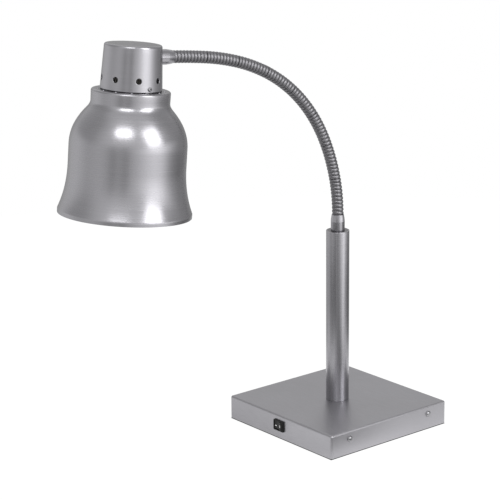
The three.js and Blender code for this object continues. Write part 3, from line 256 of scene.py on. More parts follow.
shining = white.node("ShaderNodeEmission", None, {"Color": shine})
open_table = white.node("ShaderNodeMixShader", None, {0: share, 1: matt, 2: shining})
# Under the base the table turns near-black: a painted contact shadow along the base's bottom edges.
painted_shadow_under_base = white.node("ShaderNodeBsdfDiffuse", None, {"Color": (0.03, 0.03, 0.03, 1)})
white.finish(white.node("ShaderNodeMixShader", None, {0: outward.rise(*UNDER_BASE), 1: painted_shadow_under_base, 2: open_table}))
table.data.materials.append(white.owner)


def softbox(name, angle, elevation, distance, width, height, radiance, aim=(0, -0.3, 0.42)):
    """A soft light at an angle round the lamp from the camera's side, facing the point that it is aimed at."""
    around = math.radians(angle)
    out = flat_camera * math.cos(around) + np.array([-flat_camera[1], flat_camera[0]]) * math.sin(around)
    up = math.radians(elevation)
    sight = np.array([*(out * math.cos(up)), math.sin(up)])
    across = np.cross([0, 0, 1], sight)
    across /= np.linalg.norm(across)
    light = bpy.data.lights.new(name, "AREA")
    light.shape = "RECTANGLE"
    light.size = width
    light.size_y = height
    light.energy = radiance * math.pi * width * height
    made = added(name, light)
    columns = np.column_stack([across, np.cross(sight, across), sight, np.array(aim) + sight * distance])
    made.matrix_world = Matrix(np.vstack([columns, [0, 0, 0, 1]]).tolist())


softbox("tall_light", 58, 28, 2.5, 1.3, 1.6, 3.6)
softbox("front_softbox", -5, 45, 2.4, 1.2, 0.66, 5.6)


# Base. A cover folded from satin stainless sheet over a flanged tray, a ballast plate under the top, and
# a rubber pad glued below, with four dome-headed screws through the side flanges.


class Finish(Nodes):
    """A surface finish: the nodes behind one Principled shader, patterned by the piece's own place."""

    def __init__(self, name, tone, roughness, metallic=0.0, **constants):
        super().__init__(bpy.data.materials.new(name))
        self.shader = self.tree.nodes["Principled BSDF"]
        self.tone = tone
        self.set("Base Color", (*tone, 1))
        self.set("Roughness", roughness)
        self.set("Metallic", metallic)
        for key, value in constants.items():
            self.set(key.replace("_", " ").title().replace("Ior", "IOR"), value)

    def set(self, socket, value):
        self.put(self.shader.inputs[socket], value)

    def place(self):
        return self.node("ShaderNodeTexCoord", output=3)

    def stretched(self, vector, scale, turn=(0, 0, 0)):
        return self.node("ShaderNodeMapping", None, {0: vector, 2: turn, 3: scale})

    def noise(self, vector, scale, detail=2.0):
        return self.node("ShaderNodeTexNoise", None, {"Vector": vector, "Scale": scale, "Detail": detail})

    def between(self, amount, first, second):
        """A colour between two colours."""
        colours = {0: amount, 6: (*first, 1), 7: (*second, 1)}
        return self.node("ShaderNodeMix", {"data_type": "RGBA"}, colours, output=2)

    def shades(self, amount, spread):
        """The finish's own colour made darker and lighter by a share of itself."""
        first, second = ([c * (1 + side * spread) for c in self.tone] for side in (-1, 1))
        return self.between(amount, first, second)

    def bump(self, height, depth, strength=1.0):
        """Relief: height from 0 to 1 stands for a depth in metres."""
        sockets = {"Height": height, "Distance": depth, "Strength": strength}
        self.set("Normal", self.node("ShaderNodeBump", None, sockets))


STEEL = (0.357, 0.352, 0.372)


def satin_sheet(name, tone, roughness):
    """Satin sheet: a fine even grain, with faint lines along X and a slow cloudiness in tone and gloss."""
    sheet = Finish(name, tone, roughness, 1.0)
    place = sheet.place()
    grain = sheet.noise(place, 1400, 3)
    lines = sheet.noise(sheet.stretched(place, (60, 2200, 2200)), 1, 2)
    cloud = sheet.noise(place, 14, 3)
    mixed = grain * 0.45 + lines * 0.3 + cloud * 0.25
    sheet.set("Base Color", sheet.shades(mixed.rise(0.3, 0.7), 0.13))
    sheet.set("Roughness", grain * 0.12 + cloud * 0.12 + (roughness - 0.12))
    sheet.bump(grain * 0.6 + lines * 0.4, 0.000012)
    return sheet


def plain(name, tone, roughness, metallic=0.0, spread=0.08, scale=700, depth=0.00002, **constants):
    """A plain finish with a fine grain in its tone, gloss and relief."""
    made = Finish(name, tone, roughness, metallic, **constants)
    place = made.place()
    grain = made.noise(place, scale, 3)
    cloud = made.noise(place, scale / 30, 2)
    made.set("Base Color", made.shades((grain * 0.5 + cloud * 0.5).rise(0.3, 0.7), spread))
    made.set("Roughness", cloud * 0.16 + (roughness - 0.08))
    made.bump(grain, depth)
    return made


def skin(rows, loop=False):
    """A surface through rows of points, each row a closed ring: point (i, j) meets (i, j + 1) and (i + 1, j).
    A row drawn together to one point closes its end, and loop joins the last ring to the first. The faces
    turn outwards, by the sign of the volume that they enclose."""
    rows = np.asarray(rows, float)
    count, around = rows.shape[:2]
    number = np.arange(count * around).reshape(count, around)
    single = np.ptp(rows, axis=1).max(axis=1) < 1e-9
    number[single] = number[single][:, :1]
    lower, upper = (number, np.roll(number, -1, 0)) if loop else (number[:-1], number[1:])
    quads = np.stack([lower, np.roll(lower, -1, 1), np.roll(upper, -1, 1), upper], -1).reshape(-1, 4)
    starts = quads[:, 0] == quads[:, 1]
    ends = quads[:, 2] == quads[:, 3]
    triangles = np.concatenate([quads[starts][:, [0, 2, 3]], quads[ends & ~starts][:, :3]])
    quads = quads[~starts & ~ends]
    points = rows.reshape(-1, 3)
    halves = np.concatenate([quads[:, :3], quads[:, [0, 2, 3]], triangles])
    a, b, c = (points[halves[:, i]] for i in range(3))
    if np.einsum("ij,ij->", a - points.mean(0), np.cross(b - points.mean(0), c - points.mean(0))) < 0:
        quads, triangles = quads[:, ::-1], triangles[:, ::-1]
    used, place = np.unique(number, return_inverse=True)
    place = place.reshape(-1)
    return points[used], place[quads], place[triangles]


def piece(name, body, slot, finish, *skins, stands_for=(), crease=32):
    """One object from its skins, smooth but for edges sharper than the crease, on its body."""
    points, faces, start = [], [], 0
    for corners, quads, triangles in skins:
        points.append(corners)
        faces += (quads + start).tolist() + (triangles + start).tolist()
        start += len(corners)
    mesh = bpy.data.meshes.new(name)
    mesh.from_pydata(np.concatenate(points), [], faces)
    mesh.shade_smooth()
    mesh.set_sharp_from_angle(angle=math.radians(crease))
    mesh.materials.append(finish.owner)
    made = added(name, mesh)
    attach(made, body)
    if stands_for:
        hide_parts(*stands_for)
    return made


def dress(finish, *names):
    """Gives CAD nodes their finish."""
    for name in names:
        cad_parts[name].material_slots[0].material = finish.owner


def rounded(corners, closed=False, steps=6):
    """A line through corners (x, y, radius), in millimetres, each corner an arc that touches both its sides."""
    corners = np.asarray(corners, float)
    out = []
    for i, (x, y, radius) in enumerate(corners):
        here = np.array([x, y])
        inner = closed or 0 < i < len(corners) - 1
        if radius <= 0 or not inner:
            out.append(here[None])
            continue
        before, after = corners[i - 1, :2] - here, corners[(i + 1) % len(corners), :2] - here
        before, after = before / np.linalg.norm(before), after / np.linalg.norm(after)
        half = math.acos(np.clip(before @ after, -1, 1)) / 2
        middle = here + (before + after) / np.linalg.norm(before + after) * radius / math.sin(half)
        first, last = (here + side * radius / math.tan(half) - middle for side in (before, after))
        sweep = math.pi - 2 * half
        share = np.linspace(0, 1, steps + 1)[:, None]
        out.append(middle + (np.sin((1 - share) * sweep) * first + np.sin(share * sweep) * last) / math.sin(sweep))
    return np.concatenate(out)


def square_ring(half_x, half_y, corner, steps=6):
    """A rectangle's outline with round corners: (half - corner) in each corner's direction plus a quarter arc,
    and before and after the arc a point on the straight side, which keeps the side's shading flat."""
    quarter = np.linspace(0, math.pi / 2, steps + 1)[[0, *range(steps + 1), -1]]
    turns = (np.arange(4)[:, None] * math.pi / 2 + quarter).reshape(-1)
    signs = np.repeat([[1, 1], [-1, 1], [-1, -1], [1, -1]], steps + 3, axis=0)
    arc = np.stack([np.cos(turns), np.sin(turns)], -1)
    along = np.stack([-np.sin(turns), np.cos(turns)], -1)
    straight = min(1.0, (half_x - corner) / 2, (half_y - corner) / 2)
    beside = np.tile([-straight, *[0] * (steps + 1), straight], 4)[:, None]
    return signs * [half_x - corner, half_y - corner] + corner * arc + along * beside


def framed(profile, width, height, corner, least=0.15):
    """Rings for a profile of (inset, level) round a rounded rectangle, in millimetres, on its flat X, Y face."""
    rows = []
    for inset, level in profile:
        reach = np.array([width / 2 - inset, height / 2 - inset])
        ring = square_ring(*np.maximum(reach, 0), max(min(corner - inset, *reach), least if min(reach) > 1 else 0))
        rows.append(np.column_stack([ring, np.full(len(ring), level)]))
    return np.array(rows)


def placed(rows, origin, up, across):
    """Rows made on the Z axis, in millimetres, carried to an origin with their Z along up and X along across."""
    up, across = np.array(up, float), np.array(across, float)
    turn = np.stack([across, np.cross(up, across), up])
    return (np.asarray(rows) @ turn + origin) * 0.001


def turned(profile, sides=64):
    """Rings of a turned piece: each (radius, height) of the profile carried round the Z axis."""
    profile = np.asarray(profile, float)
    turn = np.arange(sides) * math.tau / sides
    radius, height = profile[:, :1], profile[:, 1:2]
    return np.stack([radius * np.cos(turn), radius * np.sin(turn), height + 0 * turn], -1)


BASE_SIDE = 200.0
COVER_BOTTOM = 1.0
COVER_TOP = 31.5
COVER_WALL = 1.2
COVER_CORNER = 2.6
COVER_FOLD = 2.6
COVER_INNER_FOLD = 1.4
FOLD_REACH = 3.6
SCREW_SPOTS = [(1, -68.5), (1, 68.5), (-1, -68.5), (-1, 68.5)]
SCREW_LEVEL = 20.5

satin = satin_sheet("satin_steel_sheet", STEEL, 0.36)
outside = rounded([
    (0, COVER_BOTTOM, 0), (0, COVER_TOP - FOLD_REACH, 0), (0, COVER_TOP, COVER_FOLD), (FOLD_REACH, COVER_TOP, 0),
    (40, COVER_TOP, 0), (BASE_SIDE / 2, COVER_TOP, 0),
])
inside = rounded([
    (COVER_WALL, COVER_BOTTOM, 0), (COVER_WALL, COVER_TOP - COVER_WALL, COVER_INNER_FOLD),
    (BASE_SIDE / 2, COVER_TOP - COVER_WALL, 0),
])
cover = framed(np.concatenate([outside[::-1], inside]), BASE_SIDE, BASE_SIDE, COVER_CORNER)
piece("base_shell", "base", "base_cover", satin, skin(cover * 0.001), stands_for=["base_cover"])

zinc = plain("zinc_plated_steel", (0.4, 0.4, 0.41), 0.32, 1.0, 0.1, 500)
side_screw = rounded([
    (0, 2.6, 0), (3.0, 2.5, 2.6), (4.0, 0.5, 0.5), (4.0, 0, 0.12), (2, 0, 0), (2, -7.4, 0.3), (0, -7.4, 0),
])
nickel = plain("nickel_plated_screws", (0.3, 0.298, 0.31), 0.16, 1.0, 0.04, 900, 0.000002)
for number, (side, along) in enumerate(SCREW_SPOTS, 1):
    seat = (side * (BASE_SIDE / 2 + 0.05), along, SCREW_LEVEL)
    rows = placed(turned(side_screw, 40), seat, (side, 0, 0), (0, 1, 0))
    piece(f"side_screw_dome_{number}", "base", "screws", nickel, skin(rows), stands_for=[f"side_screw_{number}"])

rubber = plain("black_rubber_pad", (0.014, 0.014, 0.014), 0.8, 0, 0.3, 420, 0.0001)
painted = plain("black_oxide_plate", (0.03, 0.03, 0.032), 0.55, 0.4, 0.25, 300, 0.00008)
dress(zinc, "base_tray")
dress(rubber, "base_pad")
dress(painted, "ballast_plate")


# Switch. A black snap-in rocker switch in the front edge of the base: a moulded frame, a rocker with two
# faces that meet in a valley, and the off and on marks printed white on it.

SWITCH_SPOT = (0, -100, 17.8)
BEZEL = (19.4, 14.5, 1.6)
BEZEL_FRONT = 2.3
CAVITY = (17.3, 11.5)
CAVITY_FLOOR = -9
HOUSING = (18.8, 12.8)
HOUSING_END = -16.8
ROCKER_RADIUS = 8.6
ROCKER_HEIGHT = 10.8
ROCKER_VALLEY = 3.55
ROCKER_TILT = 10
ROCKER_HOLLOW = 0.28
ROCKER_BELLY = 5
ROCKER_FACE = 8.0
PIVOT_DEPTH = 2
PRINT_FOOT = 0.03
PRINT_TOP = 0.15
OFF_SPOT = (5.2, 0.2)
ON_SPOT = (-4.5, -1.1)

black = plain("black_moulded_plastic", (0.008, 0.008, 0.008), 0.36, 0, 0.15, 900, 0.00001, specular_ior_level=0.25)


def switch_frame():
    """The frame's rings, from the cavity's floor up its walls, over the rim, and back down its body."""
    wide, high, corner = BEZEL
    hole_wide, hole_high = CAVITY
    levels = [
        (0, 0, CAVITY_FLOOR), (hole_wide, hole_high, CAVITY_FLOOR), (hole_wide, hole_high, BEZEL_FRONT - 0.4),
        (hole_wide + 0.15, hole_high + 0.15, BEZEL_FRONT - 0.15), (hole_wide + 0.5, hole_high + 0.5, BEZEL_FRONT),
        (wide - 1.3, high - 1.3, BEZEL_FRONT), (wide - 0.55, high - 0.55, BEZEL_FRONT - 0.2),
        (wide - 0.15, high - 0.15, BEZEL_FRONT - 0.6), (wide, high, BEZEL_FRONT - 1.2), (wide, high, 0.05),
        (*HOUSING, 0.05), (*HOUSING, HOUSING_END), (0, 0, HOUSING_END),
    ]
    rows = []
    for width, height, level in levels:
        radius = min(corner, max(width - wide + 2 * corner, 1) / 2) if width else 0
        ring = square_ring(width / 2, height / 2, radius)
        rows.append(np.column_stack([ring, np.full(len(ring), level)]))
    return placed(rows, SWITCH_SPOT, (0, -1, 0), (1, 0, 0))


piece("switch_frame", "base", "switch_housing", black, skin(switch_frame()), stands_for=["switch_housing"])


def rocker_outline(steps=16):
    """The rocker's section across the pivot: a valley between two slightly hollow faces, and ends that are
    arcs round the pivot, as (across, out) points."""
    slope = math.radians(ROCKER_TILT)
    reach = math.acos(ROCKER_VALLEY * math.cos(slope) / ROCKER_RADIUS)
    end = math.pi / 2 + slope - reach
    belly = -math.asin(ROCKER_BELLY / ROCKER_RADIUS)
    turn = np.linspace(belly, end, steps)
    side = ROCKER_RADIUS * np.stack([np.cos(turn), np.sin(turn)], -1)
    share = np.linspace(0, 1, steps)[1:, None]
    face = side[-1] + (np.array([0, ROCKER_VALLEY]) - side[-1]) * share
    face[:, 1] -= ROCKER_HOLLOW * np.sin(share[:, 0] * math.pi)
    half = np.concatenate([side, face])
    return np.concatenate([half, half[-2::-1] * [-1, 1]])


def rocker_rows(outline):
    """The section carried along the pivot, drawn in at both ends for the rounded edges, and closed."""
    half = ROCKER_HEIGHT / 2
    centre = np.array([0, 0.6])
    ends = [(half - 0.45, 1), (half - 0.12, 0.97), (half, 0.93), (half, 0)]
    steps = [(-level, size) for level, size in ends[::-1]] + ends
    return [
        np.column_stack([centre + (outline - centre) * size, np.full(len(outline), level)]) for level, size in steps
    ]


def on_rocker(rows):
    """Rocker millimetres (across, out, along the pivot) to the lamp, turned to the rocker's resting side."""
    rows = np.asarray(rows, float)
    turn = math.radians(-ROCKER_TILT)
    across, out = rows[..., 0], -rows[..., 1]
    x = across * math.cos(turn) - out * math.sin(turn)
    y = across * math.sin(turn) + out * math.cos(turn)
    return np.stack([x, y + SWITCH_SPOT[1] + PIVOT_DEPTH, rows[..., 2] + SWITCH_SPOT[2]], -1) * 0.001


piece("rocker_key", "rocker", "switch_rocker", black, skin(on_rocker(rocker_rows(rocker_outline()))),
      stands_for=["switch_rocker"])


def ring_mark(inner, outer, sides=40):
    """A printed ring: its inner wall, its face and its outer wall, as circles with how proud they stand."""
    turn = np.arange(sides) * math.tau / sides
    ring = np.stack([np.cos(turn), np.sin(turn)], -1)
    section = ((inner, PRINT_FOOT), (inner, PRINT_TOP), (outer, PRINT_TOP), (outer, PRINT_FOOT))
    return [(ring * radius, proud) for radius, proud in section]


def bar_mark(width, height):
    """A printed bar: its outline drawn from its middle to its edge and down its walls."""
    ring = square_ring(width / 2, height / 2, 0.2, 4)
    return [(ring * 0, PRINT_TOP), (ring, PRINT_TOP), (ring, PRINT_FOOT), (ring * 0, PRINT_FOOT)]


def on_face(shape, middle):
    """A mark's rings at a place (across, along the pivot) on the rocker: out by the valley, the face's slope,
    its hollow (a half wave of sine) and how proud the mark stands."""
    slope = math.radians(ROCKER_TILT)
    rows = []
    for ring, proud in shape:
        across = middle[0] + ring[:, 0]
        share = np.clip(1 - np.abs(across) / ROCKER_FACE, 0, 1)
        out = ROCKER_VALLEY + np.abs(across) * math.tan(slope) - ROCKER_HOLLOW * np.sin(share * math.pi) + proud
        rows.append(np.column_stack([across, out, ring[:, 1] + middle[1]]))
    return on_rocker(rows)


printed = plain("white_print", (0.78, 0.78, 0.77), 0.5, 0, 0.05, 900, 0.00001)
piece("rocker_marks", "rocker", "switch_rocker", printed,
      skin(on_face(ring_mark(0.8, 1.75), OFF_SPOT), loop=True), skin(on_face(bar_mark(2.8, 1.2), ON_SPOT)))
brass = plain("brass", (0.62, 0.42, 0.14), 0.28, 1.0, 0.1, 500)
dress(brass, "switch_tab_1", "switch_tab_2", "earth_screw", "lampholder_shell", "lampholder_contact")


# Cable gland and terminals. A black nylon gland with a hexagon and a slotted dome nut in the back edge, and
# inside the base a nylon terminal block, the earth screw and silicone wires.

GLAND_SPOT = (0, 100, 16)
HEXAGON_CORNER = 9.5


def hexagon_radius(turn, flat, corner=0.06):
    """A hexagon's radius at each angle: the flats' distance over the cosine from the nearest flat, its corners
    cut back to a circle."""
    folded = (turn + math.pi / 6) % (math.pi / 3) - math.pi / 6
    sharp = flat / np.cos(folded)
    return np.minimum(sharp, flat * (1 / math.cos(math.pi / 6) - corner))


def gland_rows(sides=96):
    """Rings along the gland: thread, hexagon, fluted dome nut, and the bore back to its closed inner end."""
    turn = np.arange(sides) * math.tau / sides
    hexed = hexagon_radius(turn, HEXAGON_CORNER * math.cos(math.pi / 6))
    fluted = 8 - 0.35 * (np.cos(turn * 12) > 0.2)
    stations = [
        (-9, 0), (-9, 5.4), (-8.4, 6), (0.05, 6), (0.05, hexed - 0.5), (0.5, hexed), (4.6, hexed),
        (5.2, np.minimum(hexed - 0.4, 8.9)), (5.3, fluted), (10.6, fluted), (12.6, fluted * 0.97), (14.2, 7.1),
        (15, 5.8), (15.05, 4.3), (14.6, 3.5), (3, 3.4), (3, 0),
    ]
    rows = [np.stack([r * np.cos(turn), r * np.sin(turn), 0 * turn + level], -1) for level, r in stations]
    return placed(rows, GLAND_SPOT, (0, 1, 0), (1, 0, 0))


nylon = plain("black_nylon_gland", (0.02, 0.02, 0.021), 0.45, 0, 0.2, 800, 0.00004)
piece("gland_body", "base", "gland", nylon, skin(gland_rows()), stands_for=["cable_gland"], crease=28)
pale_nylon = plain("pale_nylon", (0.62, 0.59, 0.52), 0.5, 0, 0.06, 500)
silicone = plain("grey_silicone_wire", (0.5, 0.49, 0.46), 0.6, 0, 0.08, 600)
dress(nylon, "gland_locknut")
dress(pale_nylon, "terminal_block")
dress(silicone, "switch_wire_1", "switch_wire_2", "earth_wire", "base_lead", "head_lead",
      *(f"neck_lead_{i}" for i in range(2, 8)))


# Post. A round stainless tube, brushed round, with a turned plug flush in its top, standing on the cover and
# held from below by a nut on its hollow stud.

POST_RADIUS = 15.0
POST_BOTTOM = 31.55
POST_TOP = 259.8
POST_WALL = 1.5
PLUG_RADIUS = POST_RADIUS - POST_WALL - 0.05
PLUG_BORE = 5.35
PLUG_TOP = POST_TOP - 0.15
PLUG_BOTTOM = POST_TOP - 12


def brushed_tube(name, tone, roughness):
    """Steel brushed round a tube: fine scratches that run round it and a faint lengthwise streakiness."""
    tube = Finish(name, tone, roughness, 1.0, anisotropic=0.4, anisotropic_rotation=0.25)
    place = tube.place()
    rings = tube.noise(tube.stretched(place, (90, 90, 2600)), 1, 3)
    streaks = tube.noise(tube.stretched(place, (900, 900, 6)), 1, 2)
    mixed = rings * 0.5 + streaks * 0.5
    tube.set("Base Color", tube.shades(mixed.rise(0.32, 0.68), 0.1))
    tube.set("Roughness", streaks * 0.14 + (roughness - 0.07))
    tube.bump(rings, 0.000006)
    return tube


post_profile = rounded([
    (POST_RADIUS - POST_WALL, POST_BOTTOM, 0), (POST_RADIUS, POST_BOTTOM, 0.25), (POST_RADIUS, POST_TOP, 0.5),
    (POST_RADIUS - POST_WALL, POST_TOP, 0.15),
], closed=True, steps=5)
plug_profile = rounded([
    (PLUG_RADIUS, PLUG_BOTTOM, 0.3), (PLUG_RADIUS, PLUG_TOP, 0.1), (PLUG_BORE, PLUG_TOP, 0.2),
    (PLUG_BORE, PLUG_BOTTOM, 0.3),
], closed=True, steps=5)
tube_steel = brushed_tube("brushed_post_steel", STEEL, 0.27)
piece("post", "base", "post_tube", tube_steel, skin(turned(post_profile, 96) * 0.001, loop=True),
      stands_for=["post_tube"])
turned_steel = plain("turned_plug_steel", (0.2, 0.197, 0.207), 0.36, 1.0, 0.06, 500, 0.000004)
piece("post_plug", "base", "post_fittings", turned_steel, skin(turned(plug_profile, 96) * 0.001, loop=True),
      stands_for=["post_top_plug"])
dress(zinc, "post_foot_plug", "post_washer", "post_nut")


# Ferrules. Turned and polished steel sleeves, one screwed into the post's plug and one into the side of the
# cap, each with a tapered mouth that the gooseneck's plain end is pressed into.

FERRULE_LENGTH = 20.6
FERRULE_FOOT = 260.1
FERRULE_SEAT = 34.964
FERRULE_AXIS = 182.2

ferrule_profile = rounded([
    (3.6, -9.4, 0), (5, -9.4, 0.4), (5, -0.28, 0), (8.85, -0.28, 0.05), (9, 0.1, 0.1), (9, 11.8, 3), (8.7, 14.8, 4),
    (7.85, FERRULE_LENGTH, 0.25), (6.75, FERRULE_LENGTH, 0.15), (6.75, 5.4, 0), (3.6, 5.4, 0),
], closed=True, steps=5)
polished = plain("polished_steel", STEEL, 0.22, 1.0, 0.03, 900, 0.000001)

HEAD_Y = -333.096
HEAD_Z = 337.279
HEAD_TILT = math.radians(5.5)


def on_head(rows):
    """Head millimetres (x, y towards the post, height above the shade's mouth) to the lamp, in metres."""
    rows = np.asarray(rows, float)
    x, y, height = rows[..., 0], rows[..., 1], rows[..., 2]
    cos, sin = math.cos(HEAD_TILT), math.sin(HEAD_TILT)
    return np.stack([x, HEAD_Y + y * cos + height * sin, HEAD_Z - y * sin + height * cos], -1) * 0.001


rows = turned(ferrule_profile, 72)
piece("lower_sleeve", "base", "ferrule", polished, skin((rows + [0, 0, FERRULE_FOOT]) * 0.001, loop=True),
      stands_for=["lower_ferrule"])
sideways = rows[..., [0, 2, 1]] + [0, FERRULE_SEAT, FERRULE_AXIS]
piece("upper_sleeve", "head", "ferrule", polished, skin(on_head(sideways), loop=True),
      stands_for=["upper_ferrule"])
dress(zinc, "ferrule_nut")


# Gooseneck. A left-hand coil of plated round wire, close wound over a wedge wire so that it holds any
# bend, in an arc from the post up and over to the cap. It bends in seven of its grooves, over hidden balls.

LINK_BENDS = np.radians([12.5, 11, 13.25, 13.75, 12.75, 10.5, 7.9, 2.85])
LINKS = len(LINK_BENDS)
RIB_PITCH = 4.875
LINK_LENGTH = 10 * RIB_PITCH
NECK_LENGTH = LINKS * LINK_LENGTH
NECK_START = 280.7
NECK_RADIUS = 7.5
GROOVE_RADIUS = 6.3
WIRE_RADIUS = 3.08
END_RADIUS = 6.6
END_LENGTH = 2.5 * RIB_PITCH
NECK_BORE = 6.15
NECK_SIDES = 32
RIB_STEPS = 32
JOINT_GAP = 0.48
JOINT_EASE = 3 * RIB_PITCH
BALL_RADIUS = 6.05
BALL_HOLE = 4.3
BALL_HALF = 3.2
BALL_SHINE = 0.3
SWING_JOINTS = (2, 5)


def neck_line(distance):
    """Where the neck's middle is: arcs of constant bend, link after link, and straight beyond both ends.
    Returns Y, Z and the lean from the vertical."""
    starts = np.concatenate([[0], np.cumsum(LINK_BENDS)])
    radii = LINK_LENGTH / LINK_BENDS
    step_y = radii * (np.cos(starts[1:]) - np.cos(starts[:-1]))
    step_z = radii * (np.sin(starts[1:]) - np.sin(starts[:-1]))
    y = np.concatenate([[0], np.cumsum(step_y)])
    z = NECK_START + np.concatenate([[0], np.cumsum(step_z)])
    link = np.clip((distance // LINK_LENGTH).astype(int), 0, LINKS - 1)
    within = np.clip(distance, 0, NECK_LENGTH)
    lean = starts[link] + (within - link * LINK_LENGTH) / radii[link]
    beyond = distance - within
    out_y = y[link] + radii[link] * (np.cos(lean) - np.cos(starts[link])) - np.sin(lean) * beyond
    out_z = z[link] + radii[link] * (np.sin(lean) - np.sin(starts[link])) + np.cos(lean) * beyond
    return out_y, out_z, lean


def neck_rows(distance, radius):
    """Points at radius(distance, angle) square to the neck's middle line, and how high each point's rib is.
    The distance is one number for a ring, or one for each of its points."""
    turn = np.arange(NECK_SIDES) * math.tau / NECK_SIDES
    distance = distance + 0 * turn
    y, z, lean = neck_line(distance)
    reach, rib = radius(distance, turn)
    across = reach * np.sin(turn)
    rows = np.stack([reach * np.cos(turn), y + across * np.cos(lean), z + across * np.sin(lean)], -1) * 0.001
    return rows, rib


def coil(distance, turn):
    """The coil's radius: the round wire's arc once a pitch, its place moving back by one pitch in each turn. Past
    the neck's ends it is ground down to fit the ferrules."""
    off_crest = ((distance / RIB_PITCH + turn / math.tau) % 1 - 0.5) * RIB_PITCH
    arc = np.sqrt(WIRE_RADIUS ** 2 - off_crest ** 2)
    radius = NECK_RADIUS - WIRE_RADIUS + arc
    within = (distance > 0) & (distance < NECK_LENGTH)
    rib = (radius - GROOVE_RADIUS) / (NECK_RADIUS - GROOVE_RADIUS)
    return np.where(within, radius, np.minimum(radius, END_RADIUS)), np.clip(rib, 0, 1)


def bore(distance, turn):
    """The neck's smooth inside, which counts as groove all over."""
    flat = 0 * distance + 0 * turn
    return flat + NECK_BORE, flat


def neck_steel():
    """Plated wire, bright on the ribs, dull and blackish in the grooves: partly dust and oil, partly painted shade.
    """
    coiled = Finish("plated_neck_steel", (0.215, 0.212, 0.223), 0.42, 1.0)
    rib = coiled.node("ShaderNodeAttribute", {"attribute_name": "rib"}, output=2)
    grain = coiled.noise(coiled.place(), 500, 2)
    clear_of_groove_dust_and_shade = rib.rise(0.02, 0.4)
    # The grooves' blackish colour is painted shade, together with the dust and oil that stay there.
    coiled.set("Base Color", coiled.between(clear_of_groove_dust_and_shade, (0.09, 0.088, 0.093), coiled.tone))
    coiled.set("Roughness", 0.55 - clear_of_groove_dust_and_shade * 0.17 + grain * 0.04)
    coiled.bump(grain, 0.000002)
    return coiled


def groove(joint):
    """How far the groove through a joint runs off the joint's plane, as a distance for each angle: back by one
    pitch in a turn. It starts where the bending leaves the coil's length as it is."""
    start = 0.25 if joint in SWING_JOINTS else 0.5
    turn = np.arange(NECK_SIDES) / NECK_SIDES
    return (1 - start - (turn - start) % 1) * RIB_PITCH


def link_distances(link, steps_per_pitch):
    """A link's rings. The first and last follow the grooves of its joints, a small gap away from them, and the
    rings between ease over to plain ones in three pitches."""
    first = (link - 1) * LINK_LENGTH + JOINT_GAP if link > 1 else -END_LENGTH
    last = link * LINK_LENGTH - JOINT_GAP if link < LINKS else NECK_LENGTH + END_LENGTH
    ring = np.linspace(first, last, round((last - first) / RIB_PITCH * steps_per_pitch) + 1)[:, None]
    below = np.clip(1 - (ring - first) / JOINT_EASE, 0, 1) * (link > 1)
    above = np.clip(1 - (last - ring) / JOINT_EASE, 0, 1) * (link < LINKS)
    return ring + below * groove(link - 1) + above * groove(link)


def ball_rows(joint):
    """The hollow ball that fills the coil at a joint: the root of (radius squared - offset squared) round the
    neck's middle line, cut off square at both ends, and its bore."""
    offset = np.linspace(-BALL_HALF, BALL_HALF, 13)[:, None]
    place = joint * LINK_LENGTH
    outer, _ = neck_rows(place + offset, lambda at, turn: (np.sqrt(BALL_RADIUS ** 2 - (at - place) ** 2), 0))
    inner, _ = neck_rows(place - offset[[0, -1]], lambda at, turn: (BALL_HOLE + 0 * at, 0))
    return np.concatenate([outer, inner])


coiled = neck_steel()
bodies = ["base", *(f"neck_{i}" for i in range(2, 8)), "head"]
for link, body in enumerate(bodies, 1):
    outer, rib = neck_rows(link_distances(link, RIB_STEPS), coil)
    inner, dull = neck_rows(link_distances(link, 2)[::-1], bore)
    balls = [ball_rows(link)] if link < LINKS else []
    made = piece(f"neck_coil_{link}", body, "neck", coiled, skin(np.concatenate([outer, inner]), loop=True),
                 *(skin(rows, loop=True) for rows in balls), stands_for=[f"neck_link_{link}"], crease=60)
    # Each point's rib height, which the neck's finish turns into the painted shade and dust of its grooves.
    height = np.full(len(made.data.vertices), BALL_SHINE, np.float32)
    height[:rib.size + dull.size] = np.concatenate([rib, dull]).reshape(-1)
    made.data.attributes.new("rib", "FLOAT", "POINT").data.foreach_set("value", height)


# Shade. A bell spun from one sheet of steel and brushed on the lathe: a lip, a flared skirt, a domed shoulder
# and a short collar with a flat top, which has a ring of thirteen pressed pips under the cap.

SHADE_WALL = 0.8
SHADE_TOP = 145.5
MOUTH_RADIUS = 78.5
BODY_RADIUS = 68.6
THROAT_RADIUS = 50.5
COLLAR_RADIUS = 46
LIP_TOP = 4.5
SKIRT_TOP = 56
DOME_FOOT = 80
DOME_TOP = 122.5


def bezier(points, steps=24):
    """A Bezier curve through its first and last control points."""
    points = np.asarray(points, float)
    share = np.linspace(0, 1, steps + 1)[:, None]
    order = len(points) - 1
    return sum(math.comb(order, i) * (1 - share) ** (order - i) * share ** i * points[i] for i in range(order + 1))


def wall(outline, thickness):
    """A sheet's closed outline: the line, and back along the line moved inwards by the thickness."""
    along = np.gradient(outline, axis=0)
    along /= np.linalg.norm(along, axis=1, keepdims=True)
    inner = outline + thickness * np.column_stack([-along[:, 1], along[:, 0]])
    return np.concatenate([outline, np.maximum(inner, [0, -1e9])[::-1]])


